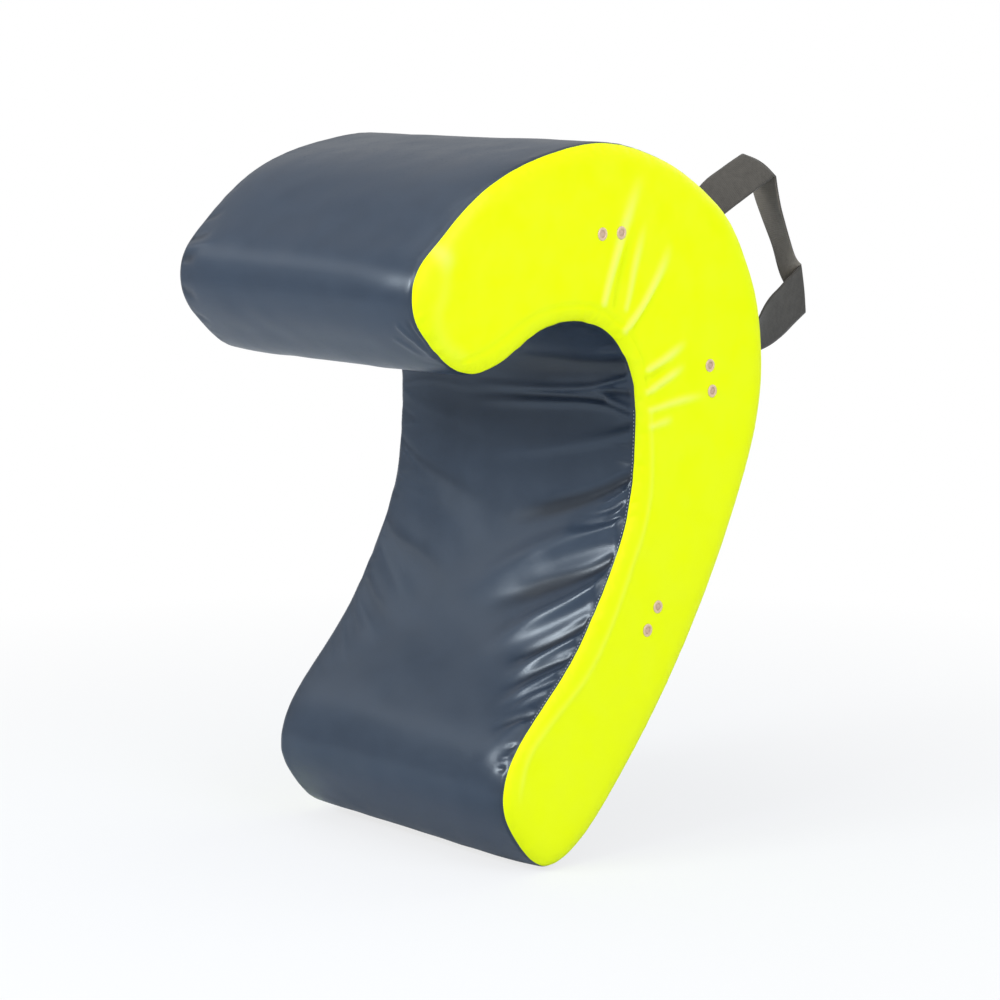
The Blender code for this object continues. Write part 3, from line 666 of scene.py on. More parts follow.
def open_hole(bm, middle, radius, sides=16):
    """Cuts a round opening into a flat net that faces X."""
    middle = Vector(middle)

    def near(reach):
        return [f for f in bm.faces if (f.calc_center_median().yz - middle).length < reach]

    parts = whole_geometry(near(2.5 * radius))
    for i in range(sides):
        turn = 2 * math.pi * (i + 0.5) / sides
        way = Vector((0, math.cos(turn), math.sin(turn)))
        parts = cut_across(bm, parts, Vector((0, *middle)) + radius * way, way)
    bmesh.ops.delete(bm, geom=near(radius * 0.97), context="FACES")


def flat_panel():
    """The side view's outline as a flat net in the middle plane, facing +X."""
    bm = bmesh.new()
    walks = np.linspace(0, OUTLINE_LENGTH, int(OUTLINE_LENGTH / PANEL_STEP), endpoint=False)
    y, z, _, _ = outline_at(walks)
    inner = bm.faces.new([bm.verts.new((0, *spot)) for spot in zip(y, z)])
    bm.normal_update()
    if inner.normal.x < 0:
        inner.normal_flip()
    for ring in PANEL_RINGS:
        bmesh.ops.inset_region(
            bm, faces=[inner], thickness=ring, use_even_offset=True, use_boundary=True
        )
    cut_net(bm, [inner], (0, y.min(), z.min()), (0, y.max(), z.max()), PANEL_STEP)
    for spot in eyelet_middles:
        open_hole(bm, spot, EYELET_OPENING)
    return bm


def seam_walk(points):
    """For flat points: the place along the seam that is nearest, and the distance to it."""
    tree = KDTree(len(table_place))
    for i, spot in enumerate(table_place):
        tree.insert((0, *spot), i)
    tree.balance()
    nearest = np.array([tree.find((0, *spot))[1] for spot in points])
    offset = points - table_place[nearest]
    way = table_way[nearest] / np.linalg.norm(table_way[nearest], axis=1)[:, None]
    along = (offset * way).sum(1)
    inward = offset[:, 0] * way[:, 1] - offset[:, 1] * way[:, 0]
    return table_walk[nearest] + along, inward


def side_cover(side, sign, seed):
    """A side panel drawn down to its seam, with its creases."""
    cover = new_piece(f"side_panel_{side}_cover", flat_panel())
    points = mesh_points(cover)
    flat = points[:, 1:]
    walk, inward = seam_walk(flat)
    inward = np.maximum(inward, 0)
    creases = PANEL_CREASES if sign > 0 else FAR_CREASES
    creased, rims = fold_heights(flat, creases), fold_heights(flat, PANEL_RIMS, 0.92)
    gathered = fold_heights(np.stack([walk, inward], axis=1), edge_gathers(seed, 0.011))
    bulge = SIDE_CROWN * (1 - (1 - np.clip(inward / SIDE_DRAW, 0, 1)) ** 3)
    bulge += (creased + rims) * smooth(*CREASE_PIN, inward)
    bulge += gathered * smooth(*GATHER_PIN, inward)
    bulge = puffed(bulge, flat, inward, seed, PANEL_PUFFS)
    for middle in eyelet_middles:
        away = np.linalg.norm(flat - middle, axis=1)
        level = 1 - smooth(*EYELET_FLAT, away)
        bulge = bulge * (1 - level) + SIDE_CROWN * level
    _, _, out_y, out_z = outline_at(walk)
    walk = walk % OUTLINE_LENGTH
    sink = (seam_dip(walk, sign) - SEAM_GROOVE) * np.exp(-inward / SINK_REACH[sign])
    sink += swell[sign](walk) * np.exp(-((inward / SWELL_REACH) ** 2))
    points[:, 0] = sign * (SEAM_X + bulge)
    points[:, 1] += out_y * sink
    points[:, 2] += out_z * sink
    set_points(cover, points)
    # The crest values mask a painted highlight on the crease crests and painted shade in the
    # valleys; the seam values mask painted shade along the seam.
    add_values(cover, "crest", np.clip((creased + 0.5 * rims) / PANEL_FULL_CREST, -1, 1))
    add_values(cover, "seam_near", np.exp(-inward / SEAM_SHADE))
    if sign < 0:
        cover.data.flip_normals()
    return cover


side_covers = {side: side_cover(side, sign, 50 + sign) for side, sign in SIDES}
print("side panel", len(side_covers["right"].data.polygons), "faces")

# %% [markdown]
# Behind the sheets is foam: a soft block with a firm layer along the back. It shows only through
# the eyelets, but it is padding, so it is a piece of its own. The model's own foam is copied, its
# loose triangles are merged, and every corner moves in a little along its normal, which keeps it
# clear of the gathers.

# %% Fit the foam inside the cover
FOAM_SHRINK = 0.0115


def shrunk_copy(node, name, depth):
    """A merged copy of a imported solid, moved inwards along its normals."""
    bm = bmesh.new()
    bm.from_mesh(bpy.data.objects[node].data)
    bmesh.ops.remove_doubles(bm, verts=bm.verts[:], dist=MERGE)
    bmesh.ops.dissolve_degenerate(bm, edges=bm.edges[:], dist=MERGE)
    bm.normal_update()
    for vert in bm.verts:
        vert.co -= vert.normal * depth
    return new_piece(name, bm)


foam_block = shrunk_copy("foam_core", "foam_block", FOAM_SHRINK)
back_slab = shrunk_copy("backing_foam", "back_slab", FOAM_SHRINK / 4)
for piece in (foam_block, back_slab):
    for face in piece.data.polygons:
        face.use_smooth = False
print("foam", len(foam_block.data.polygons), "and", len(back_slab.data.polygons), "faces")

# %% [markdown]
# Each finish is built from a few shared effects. An effect is a node group that gives out only
# masks, colours and heights, so that the shader itself stays plain to read in each material.
# Heights are in millimetres, and each Bump node has a distance of a millimetre to match.

# %% Helpers for shader nodes
MILLIMETRE = 0.001


def colour(red, green, blue):
    """A colour as read off a screen, 0 to 255, in the shader's linear light."""
    scale = [c / 255 for c in (red, green, blue)]
    return (*(c / 12.92 if c <= 0.04045 else ((c + 0.055) / 1.055) ** 2.4 for c in scale), 1)


def add_node(tree, kind, inputs=None, **settings):
    """A shader node with its settings, and with its inputs set or linked."""
    node = tree.nodes.new("ShaderNode" + kind)
    for name, value in settings.items():
        setattr(node, name, value)
    for name, value in (inputs or {}).items():
        if isinstance(value, bpy.types.NodeSocket):
            tree.links.new(value, node.inputs[name])
        else:
            node.inputs[name].default_value = value
    return node


def maths(tree, operation, first, second=0.0):
    return add_node(tree, "Math", {0: first, 1: second}, operation=operation).outputs[0]


def times(tree, first, second):
    return maths(tree, "MULTIPLY", first, second)


def plus(tree, first, second):
    return maths(tree, "ADD", first, second)


def a_metre(tree, size):
    """How many patterns of a size in millimetres fit in a metre, which is a texture's scale."""
    return maths(tree, "DIVIDE", 1000.0, size)


def object_place(tree):
    return add_node(tree, "TexCoord").outputs["Object"]


def noise(tree, place, scale, detail, **more):
    """A noise texture's value."""
    inputs = {"Vector": place, "Scale": scale, "Detail": detail, **more}
    return add_node(tree, "TexNoise", inputs).outputs[0]


def stretched(tree, value, low, high, to_low=0.0, to_high=1.0):
    """A value's range stretched to another range, and held inside it."""
    ends = {"From Min": low, "From Max": high, "To Min": to_low, "To Max": to_high}
    return add_node(tree, "MapRange", {"Value": value, **ends}).outputs[0]


def effect(name, **inputs):
    """An empty effect with its named inputs."""
    group = bpy.data.node_groups.new(name, "ShaderNodeTree")
    for title, value in inputs.items():
        socket = group.interface.new_socket(title, in_out="INPUT", socket_type="NodeSocketFloat")
        socket.default_value = value
    return group, group.nodes.new("NodeGroupInput").outputs


def give(group, **values):
    """The named outputs of an effect, each linked to its value."""
    for title in values:
        group.interface.new_socket(title, in_out="OUTPUT", socket_type="NodeSocketFloat")
    out = group.nodes.new("NodeGroupOutput").inputs
    for title, value in values.items():
        group.links.new(value, out[title])


def put(tree, group, **values):
    """An effect placed in a material, with its own values."""
    node = tree.nodes.new("ShaderNodeGroup")
    node.node_tree = group
    for title, value in values.items():
        node.inputs[title.replace("_", " ")].default_value = value
    return node.outputs


# %% [markdown]
# Coated vinyl has a fine leather-like grain pressed into it, with a hint of the woven scrim
# below. Handling polishes some places and scuffs others, in patches a few centimetres wide.

# %% Make the vinyl's grain and wear
SCRIM_SCALE = 310.0 / math.tau * 3.0

vinyl_grain, given = effect("vinyl grain", Cell=1.0, Grain=0.03, Scrim=0.01)
here = object_place(vinyl_grain)
cells = add_node(
    vinyl_grain, "TexVoronoi", {"Vector": here, "Scale": a_metre(vinyl_grain, given["Cell"])},
    feature="SMOOTH_F1",
)
fine = noise(vinyl_grain, here, 420.0, 3.0)
bumps = times(vinyl_grain, cells.outputs["Distance"], given["Grain"])
bumps = plus(vinyl_grain, bumps, times(vinyl_grain, fine, given["Grain"]))
crossing = times(vinyl_grain, *(
    add_node(
        vinyl_grain, "TexWave", {"Vector": here, "Scale": SCRIM_SCALE}, bands_direction=way
    ).outputs["Fac"] for way in "YZ"
))
give(vinyl_grain, Height=plus(vinyl_grain, bumps, times(vinyl_grain, crossing, given["Scrim"])))

handling, given = effect("handling wear", Patch=40.0, Scuff=6.0)
here = object_place(handling)
wide = noise(handling, here, a_metre(handling, given["Patch"]), 4.0, Roughness=0.6)
small = noise(
    handling, here, a_metre(handling, given["Scuff"]), 5.0, Roughness=0.7, Distortion=1.5
)
give(
    handling, Patches=stretched(handling, wide, 0.35, 0.65),
    Scuffs=stretched(handling, small, 0.56, 0.72),
)
print("grain and wear, with", len(vinyl_grain.nodes) + len(handling.nodes), "nodes")

# %% [markdown]
# A helper makes an empty material with its shader and a bump, so that each finish below is only
# the lines that make it different.

# %% Start a material
def new_material(name, **plain):
    """A material with its shader. Plain numbers go on the shader's own sockets."""
    material = bpy.data.materials.new(name)
    material.use_nodes = True
    tree = material.node_tree
    shader = tree.nodes["Principled BSDF"]
    for title, value in plain.items():
        shader.inputs[title.replace("_", " ")].default_value = value
    return material, tree, shader


def bump_from(tree, shader, height, strength=1.0):
    """Bends the shader's normal by heights in millimetres."""
    bump = add_node(tree, "Bump", {"Height": height, "Strength": strength, "Distance": MILLIMETRE})
    tree.links.new(bump.outputs[0], shader.inputs["Normal"])


def paint(tree, shader, base, *layers):
    """Gives the shader a base colour, with (mask, share, colour) layers mixed over it."""
    for mask, share, tone in layers:
        shares = {0: times(tree, mask, share), 6: base, 7: tone}
        base = add_node(tree, "Mix", shares, data_type="RGBA").outputs[2]
    tree.links.new(base, shader.inputs["Base Color"])


def vinyl(name, body, second_tone, painted_shade_tone, roughness, grain, crest_highlight, valley_shade, patchy, **plain):
    """Coated cloth: tinted in patches of wear and duller where it is scuffed, with a painted
    highlight on its crests and painted shade in its valleys and along its seams.
    """
    material, tree, shader = new_material(name, **plain)
    wear = put(tree, handling)
    bump_from(tree, shader, put(tree, vinyl_grain, **grain)["Height"])
    crest = add_node(tree, "Attribute", attribute_name="crest").outputs["Fac"]
    near = add_node(tree, "Attribute", attribute_name="seam_near").outputs["Fac"]
    # The tone given for wear also serves as a painted highlight on the crests, and the dark tone is
    # painted shade along the seams and in the valleys of the folds.
    paint(
        tree, shader, body, (wear["Patches"], patchy, second_tone), (crest, crest_highlight, second_tone),
        (near, 0.3, painted_shade_tone), (crest, -valley_shade, painted_shade_tone),
    )
    duller = plus(tree, roughness, times(tree, wear["Patches"], 0.05))
    duller = plus(tree, duller, times(tree, wear["Scuffs"], 0.1))
    tree.links.new(duller, shader.inputs["Roughness"])
    return material


# In both vinyls the crests get a painted highlight, and the valleys and seams get painted shade.
slate_vinyl = vinyl(
    "slate vinyl", colour(43, 54, 69), colour(53, 66, 83), colour(28, 32, 40), 0.28,
    {"Cell": 0.9, "Grain": 0.03, "Scrim": 0.012}, crest_highlight=0.3, valley_shade=0.85, patchy=0.22,
    Specular_IOR_Level=0.5, Specular_Tint=(0.8, 0.91, 1.0, 1.0),
)
yellow_vinyl = vinyl(
    "yellow vinyl", colour(237, 252, 0), colour(242, 255, 112), colour(208, 226, 0), 0.45,
    {"Cell": 0.9, "Grain": 0.022, "Scrim": 0.008}, crest_highlight=0.8, valley_shade=0.5, patchy=0.05,
    Specular_IOR_Level=0.12,
)
print("vinyls", slate_vinyl.name, yellow_vinyl.name)

# %% [markdown]
# The foam is open-celled: a web of fine pores. It takes the light softly, so it is rough with
# almost no gloss.

# %% Make the foam's finish
foam_pores, given = effect("foam pores", Pore=0.8)
pores = add_node(foam_pores, "TexVoronoi", {
    "Vector": object_place(foam_pores), "Scale": a_metre(foam_pores, given["Pore"]),
}).outputs["Distance"]
give(
    foam_pores, Height=times(foam_pores, pores, 0.5),
    Holes=stretched(foam_pores, pores, 0.1, 0.5, 1.0, 0.0),
)


def foam(name, light, dark, pore):
    """Open-celled foam with darker pores and darker patches."""
    material, tree, shader = new_material(name, Roughness=0.95, Specular_IOR_Level=0.1)
    cells = put(tree, foam_pores, Pore=pore)
    bump_from(tree, shader, cells["Height"], 0.8)
    patches = put(tree, handling, Patch=18.0)["Patches"]
    paint(tree, shader, light, (cells["Holes"], 0.5, dark), (patches, 0.2, dark))
    return material


soft_foam = foam("soft foam", colour(214, 184, 160), colour(150, 122, 100), 0.8)
firm_foam = foam("firm foam", colour(150, 150, 146), colour(98, 98, 96), 0.5)

# %% [markdown]
# Webbing is woven on a narrow loom: ribs run across it, and each rib is a row of slanting
# threads. The pattern follows the strap, so it reads the strap's own map, which is laid out in
# metres.

# %% Make the webbing's weave
weave, given = effect("webbing weave", Rib=2.6, Thread=2.2)
strap_map = add_node(weave, "TexCoord").outputs["UV"]
split = add_node(weave, "SeparateXYZ", {"Vector": strap_map}).outputs


def ripple(tree, value, period):
    """A row of rounded ridges, one every so many millimetres."""
    turns = times(tree, value, maths(tree, "DIVIDE", 1000 * math.pi, period))
    return maths(tree, "ABSOLUTE", maths(tree, "SINE", turns))


leaning = times(weave, split[1], 0.9)
slant, counter = plus(weave, split[0], leaning), maths(weave, "SUBTRACT", split[0], leaning)
ribs = ripple(weave, split[1], given["Rib"])
slanting = ripple(weave, slant, given["Thread"])
countering = ripple(weave, counter, times(weave, given["Thread"], 2.0))
woven = plus(weave, times(weave, slanting, 0.6), times(weave, ribs, 0.4))
woven = plus(weave, woven, times(weave, countering, 0.15))
fibres = times(weave, noise(weave, strap_map, 2600.0, 2.0), 0.05)
give(
    weave, Height=plus(weave, times(weave, woven, 0.22), fibres),
    Gaps=stretched(weave, woven, 0.25, 0.75, 1.0, 0.0),
    Slub=stretched(weave, noise(weave, strap_map, 120.0, 3.0), 0.35, 0.7),
)


def webbing(name, thread, gap, second_tone):
    """Woven strap with dark gaps between its threads."""
    material, tree, shader = new_material(
        name, Roughness=0.78, Specular_IOR_Level=0.3, Sheen_Weight=0.15, Sheen_Roughness=0.4
    )
    woven = put(tree, weave)
    bump_from(tree, shader, woven["Height"])
    paint(tree, shader, thread, (woven["Gaps"], 0.7, gap), (woven["Slub"], 0.35, second_tone))
    return material


dark_webbing = webbing("dark webbing", colour(74, 72, 68), colour(40, 39, 37), colour(90, 87, 82))
inner_webbing = webbing(
    "webbing inner face", colour(140, 134, 124), colour(84, 80, 74), colour(156, 149, 137)
)
print("effects", [group.name for group in bpy.data.node_groups])

# %% [markdown]
# The metal is of three kinds: pale, dull eyelets, the brass of the washers behind them, and the
# zip's darker plated slider and stops. All have fine scratches that only change the gloss. Tape
# and thread are plain woven cloth.

# %% Make the metals, the tape and the thread
scratches, given = effect("fine scratches", Length=3.0)
streaks = add_node(scratches, "Mapping", {
    "Vector": object_place(scratches), "Scale": (1.0, 0.12, 1.0), "Rotation": (0.5, 0.3, 0.8),
}).outputs[0]
lines = noise(scratches, streaks, maths(scratches, "DIVIDE", 6000.0, given["Length"]), 4.0)
give(
    scratches, Lines=stretched(scratches, lines, 0.45, 0.62), Height=times(scratches, lines, 0.01)
)


def metal(name, body, second_tone, metallic, roughness):
    """Scratched metal with patches of wear."""
    material, tree, shader = new_material(name, Metallic=metallic)
    marks = put(tree, scratches)
    bump_from(tree, shader, marks["Height"])
    paint(tree, shader, body, (put(tree, handling, Patch=6.0)["Patches"], 0.5, second_tone))
    rough = plus(tree, roughness, times(tree, marks["Lines"], 0.14))
    tree.links.new(rough, shader.inputs["Roughness"])
    return material


eyelet_brass = metal("eyelet brass", colour(226, 198, 168), colour(206, 178, 150), 0.25, 0.42)
washer_brass = metal("washer brass", colour(190, 160, 120), colour(160, 130, 96), 0.8, 0.4)
zip_metal = metal("zip metal", colour(92, 92, 94), colour(140, 138, 134), 0.9, 0.3)


def cloth_tape(name, thread, gap):
    """Woven tape or thread, with a pattern on object coordinates."""
    material, tree, shader = new_material(name, Roughness=0.8, Specular_IOR_Level=0.25)
    rows = noise(tree, object_place(tree), 1500.0, 3.0)
    bump_from(tree, shader, times(tree, rows, 0.15))
    paint(tree, shader, gap, (stretched(tree, rows, 0.4, 0.65), 1.0, thread))
    return material


zip_tape = cloth_tape("zip tape", colour(52, 52, 54), colour(22, 22, 24))
dark_thread = cloth_tape("dark thread", colour(70, 70, 74), colour(30, 30, 33))
pale_thread = cloth_tape("pale thread", colour(176, 184, 194), colour(120, 126, 134))
coil_nylon = cloth_tape("coil nylon", colour(48, 48, 51), colour(34, 34, 36))
print(len(bpy.data.materials), "materials")

# %% [markdown]
# The handles are straps of one width, folded at two sewn lines, so each is a ribbon. The near
# handle's two edges were placed from the photograph, pair by pair, from its upper end to its
# lower one. The far one is hidden and hangs more calmly. A grid is bent along the pairs, and
# Solidify gives the cloth its thickness and a paler copy of the finish on its inner face.

# %% Bend a ribbon through pairs of edge points
STRAP_WIDTH, STRAP_THICKNESS = 0.05, 0.0018
RIGHT_HANDLE = np.array((
    ((80, -166.336, 14.4), (130, -166.336, 14.4)),
    ((80.3, -141, 45), (129.7, -148, 26.2)),
    ((80.5, -110, 71), (129, -126.9, 36.1)),
    ((80.5, -77, 86.6), (128, -86, 54.6)),
    ((80.5, -40.5, 102.2), (126, -34.5, 77.2)),
    ((83.5, -25.4, 55.6), (126, -29.5, 57.5)),
    ((87.2, -14, 26), (125.7, -21, 32)),
    ((92.5, -1.5, -7), (124.8, -8.5, 4)),
    ((98.5, 12.5, -52), (123.6, 5, -20)),
    ((106, 47.5, -92), (122, 18.7, -31.3)),
    ((104, 30, -104), (122.5, 2.5, -42.5)),
    ((100, 8.8, -120.3), (123, -18, -55.6)),
    ((94, -17.4, -133.3), (125, -50.2, -77.3)),
    ((85, -74, -144.5), (127.5, -93, -135.9)),
    ((80, -125.037, -169), (130, -125.037, -169)),
)) / 1000
LEFT_HANDLE = np.array((
    ((80, -166.336, 14.4), (130, -166.336, 14.4)),
    ((80.1, -140, 29), (129.9, -140, 29)),
    ((80.4, -104, 48), (129.4, -106, 44)),
    ((80.8, -64, 69), (128.8, -66, 62)),
    ((81.2, -23, 87), (128.4, -26, 80)),
    ((82.2, -10, 56), (129, -15, 53)),
    ((83.4, 1, 18), (130, -4, 16)),
    ((84.6, 10, -22), (130.6, 6, -24)),
    ((85, 17, -58), (130.4, 13, -59)),
    ((84.8, 24, -90), (130, 19, -90)),
    ((84, 2, -102), (130, -4, -101)),
    ((83, -30, -119), (130, -34, -117)),
    ((82, -62, -136), (130, -65, -134)),
    ((80.6, -95, -153), (130, -96, -152)),
    ((80, -125.037, -169), (130, -125.037, -169)),
)) / 1000
FOLD_PAIRS = (4, 9)
PAIR_ROWS, RIBBON_COLUMNS, ROW_LENGTH = 10, 16, 0.0025
BOW, FOLD_BOW, FOLD_ROWS = 0.0006, 0.0032, 7


def eased_line(points, count):
    """Points along a smooth curve through a few points, with a crease at each fold."""
    corners = (0, *FOLD_PAIRS, len(points) - 1)
    out = []
    for first, last in zip(corners, corners[1:]):
        part = points[first:last + 1]
        at = np.linspace(0, last - first, count * (last - first), endpoint=False)
        i = at.astype(int)
        t = (at - i)[:, None]
        before, here = part[np.maximum(i - 1, 0)], part[i]
        after, beyond = part[i + 1], part[np.minimum(i + 2, last - first)]
        out.append(0.5 * (
            2 * here + (after - before) * t + (2 * before - 5 * here + 4 * after - beyond) * t**2
            + (3 * here - before - 3 * after + beyond) * t**3
        ))
    line = np.concatenate([*out, points[-1:]])
    for _ in range(2):
        line[1:-1] = line[1:-1] * 0.5 + (line[:-2] + line[2:]) * 0.25
    return line


def ribbon(name, pairs, first, last, sign):
    """The stretch of a handle's webbing between two pairs of edge points."""
    far, near = (
        eased_line(pairs[:, edge], PAIR_ROWS)[first * PAIR_ROWS:last * PAIR_ROWS + 1]
        for edge in (0, 1)
    )
    rows = len(far) - 1
    strip, u, v = flat_grid(name, RIBBON_COLUMNS, rows)
    row = np.rint(v * rows).astype(int)
    points = far[row] * (1 - u)[:, None] + near[row] * u[:, None]
    middle = (far + near) / 2
    out_way = np.cross(near - far, np.gradient(middle, axis=0))
    out_way /= np.linalg.norm(out_way, axis=1)[:, None]
    from_fold = np.abs(row + (first - FOLD_PAIRS[0]) * PAIR_ROWS)
    bend = (BOW + FOLD_BOW * np.exp(-((from_fold / FOLD_ROWS) ** 2))) * np.sin(math.pi * u)
    spots = np.stack([row * ROW_LENGTH, u * STRAP_WIDTH], axis=1)
    bend += 0.0005 * value_noise(spots, 0.021, 7)
    points += out_way[row] * bend[:, None]
    points[:, 0] *= sign
    set_points(strip, points)
    if sign < 0:
        strip.data.flip_normals()
    lay_map(strip, u * STRAP_WIDTH, walked_along(middle)[row])
    return strip


def thicken(piece, thickness, offset=0.0, inner_slot=0):
    """Cloth's thickness, centred or inwards, with its own finish on the inner face."""
    shell = piece.modifiers.new("thickness", "SOLIDIFY")
    shell.thickness = thickness
    shell.offset = offset
    shell.material_offset = inner_slot
    shell.material_offset_rim = 0


handle_parts = {}
for side, sign, pairs in (("right", 1, RIGHT_HANDLE), ("left", -1, LEFT_HANDLE)):
    for part, first, last in (("upper", 0, 4), ("grip", 4, 9), ("lower", 9, 14)):
        strip = ribbon(f"handle_{part}_strap_{side}", pairs, first, last, sign)
        for finish in (dark_webbing, inner_webbing):
            strip.data.materials.append(finish)
        thicken(strip, STRAP_THICKNESS, inner_slot=1)
        handle_parts[side, part] = strip
print(len(handle_parts), "ribbons")

# %% [markdown]
# Each handle is sewn down through a vinyl patch that spreads the pull over the yoke. The patch and
# the two sewn ends of the webbing follow the cover, so they are small grids laid on it, each at
# its own height, and thickened inwards.

# %% Lay the patches and the sewn ends
HANDLE_OFFSET = 0.105
TAB_LENGTH, FOLD_CLEARANCE, PATCH_MARGIN = 0.06, 0.0014, 0.012
PATCH_LIFT, PATCH_THICKNESS, TAB_LIFT, GRID_STEP = 0.0015, 0.0012, 0.0036, 0.003
PUFF, PRESSED_EDGE, PRESSED_REACH = 0.0002, 0.0003, 0.002
TOP_TAB_END, LOW_TAB_START = walk_at(4.5) - FOLD_CLEARANCE, walk_at(8.4) + FOLD_CLEARANCE
TAB_SPANS = {
    "top": (TOP_TAB_END - TAB_LENGTH, TOP_TAB_END),
    "low": (LOW_TAB_START, LOW_TAB_START + TAB_LENGTH),
}
PATCH_WIDTH = STRAP_WIDTH + 2 * PATCH_MARGIN
PATCH_SPAN = (TAB_SPANS["top"][0] - PATCH_MARGIN, TAB_SPANS["low"][1] + PATCH_MARGIN)


def laid_piece(name, span, middle, width, lift, thickness, material):
    """A flat piece sewn on the back, with its map in metres and softly pressed-down edges."""
    length = span[1] - span[0]
    piece, u, v = flat_grid(name, *(max(8, int(side / GRID_STEP)) for side in (width, length)))
    x = middle + (u - 0.5) * width
    walk = span[0] + v * length
    edge = np.minimum(np.minimum(u, 1 - u) * width, np.minimum(v, 1 - v) * length)
    puff = PUFF * value_noise(np.stack([walk, x], axis=1) + 4, 0.016, 5)
    lift = lift + puff - PRESSED_EDGE * np.exp(-edge / PRESSED_REACH)
    set_points(piece, cover_points(walk, x, lift, BACK_SWELL))
    lay_map(piece, u * width, v * length)
    piece.data.materials.append(material)
    thicken(piece, thickness, -1.0)
    return piece


sewn = {}
for side, sign in SIDES:
    middle = sign * HANDLE_OFFSET
    sewn[f"handle_patch_{side}"] = laid_piece(
        f"handle_patch_cover_{side}", PATCH_SPAN, middle, PATCH_WIDTH, PATCH_LIFT,
        PATCH_THICKNESS, slate_vinyl,
    )
    for end, span in TAB_SPANS.items():
        sewn[f"handle_tab_{end}_{side}"] = laid_piece(
            f"handle_end_{end}_{side}", span, middle, STRAP_WIDTH, TAB_LIFT,
            STRAP_THICKNESS, dark_webbing,
        )
print(len(sewn), "sewn pieces")

# %% [markdown]
# Stitches are what make sewn things look sewn. Each is a tiny rounded bead, longer than it is wide,
# laid end to end along a line. One helper puts them along any row of points on the cover, and all
# the rows of one seam become one piece. Adding thousands of beads to a bmesh one by one is slow, so
# the bead is made once, and numpy lays out its copies.

# %% Sew a row of stitches
STITCH_LIFT, ROW_END, BEAD_FACES = 0.0001, 0.185, 24
PATCH_INSET, TAB_INSET, SEAM_AWAY = 0.004, 0.006, 0.005
ZIP_ROWS, ZIP_ROW_GAP = (0.0085, 0.0125), 0.006


def between(places, walked, rows):
    """Rows of a table, read between its lines at distances along it."""
    return np.stack([np.interp(places, walked, column) for column in rows.T], axis=1)


def bead_place(middle, along, across, size):
    """Where a bead lies: its middle, two of its directions and its half sizes."""
    turn = Matrix((along, across, along.cross(across))).transposed().to_4x4()
    return Matrix.Translation(middle) @ turn @ Matrix.Diagonal((*size, 1))


def stitch_places(points, outs, pitch, length, width):
    """Where each stitch of a row lies, at an even pitch along its points."""
    walked = walked_along(points)
    places = np.arange(pitch / 2, walked[-1], pitch)
    ways = between(places + 0.001, walked, points) - between(places - 0.001, walked, points)
    found = []
    for middle, way, out in zip(
        between(places, walked, points), ways, between(places, walked, outs)
    ):
        along = Vector(way).normalized()
        across = Vector(out).cross(along).normalized()
        found.append(bead_place(middle, along, across, (length / 2, width / 2, width / 2)))
    return found


def beads(name, matrices, material):
    """A piece made of one small bead, repeated at each of the places."""
    bm = bmesh.new()
    bmesh.ops.create_uvsphere(bm, u_segments=6, v_segments=4, radius=1)
    bmesh.ops.recalc_face_normals(bm, faces=bm.faces[:])
    corners = np.array([(*vert.co, 1) for vert in bm.verts])
    loops = [[vert.index for vert in face.verts] for face in bm.faces]
    bm.free()
    places = np.array([np.array(matrix) for matrix in matrices])
    points = np.einsum("nij,vj->nvi", places, corners)[:, :, :3].reshape(-1, 3)
    starts = range(0, len(points), len(corners))
    mesh = bpy.data.meshes.new(name)
    mesh.from_pydata(points, [], [[i + start for i in loop] for start in starts for loop in loops])
    return shown(mesh, material)


def sew(name, rows, material, pitch=0.0035, length=0.0027, width=0.0009):
    """A piece made of all the stitches in some rows. A row is (points, outward directions)."""
    places = [place for row in rows for place in stitch_places(*row, pitch, length, width)]
    return beads(name, places, material)


def cover_row(walk, x, lift, swell_width=2 * SEAM_X):
    """Points on the cover with their outward directions."""
    _, _, out_y, out_z = outline_at(walk)
    return cover_points(walk, x, lift, swell_width), np.stack([0 * x, out_y, out_z], axis=1)


def straight_row(corners, lift=STITCH_LIFT, swell_width=BACK_SWELL, step=0.002):
    """A row along straight lines between (walk, x) corners, at a height over the cover."""
    corners = np.asarray(corners, float)
    spots = [corners[:1]]
    for start, end in zip(corners, corners[1:]):
        count = max(2, int(np.linalg.norm(end - start) / step))
        spots.append(start + (end - start) * np.linspace(0, 1, count + 1)[1:, None])
    return cover_row(*np.concatenate(spots).T, lift, swell_width)


def rectangle(span, middle, width, inset):
    """The corners of a closed rectangle of stitches, inside a laid piece."""
    low, high = span[0] + inset, span[1] - inset
    left, right = middle - width / 2 + inset, middle + width / 2 - inset
    return ((low, left), (low, right), (high, right), (high, left), (low, left))


handle_rows = []
for _, sign in SIDES:
    middle = sign * HANDLE_OFFSET
    edges = rectangle(PATCH_SPAN, middle, PATCH_WIDTH, PATCH_INSET)
    handle_rows.append(straight_row(edges, PATCH_LIFT + STITCH_LIFT))
    for span in TAB_SPANS.values():
        edges = rectangle(span, middle, STRAP_WIDTH, TAB_INSET)
        for line in (edges, edges[0:3:2], edges[1:4:2]):
            handle_rows.append(straight_row(line, TAB_LIFT + STITCH_LIFT))
handle_stitches = sew("handle_stitches", handle_rows, dark_thread)

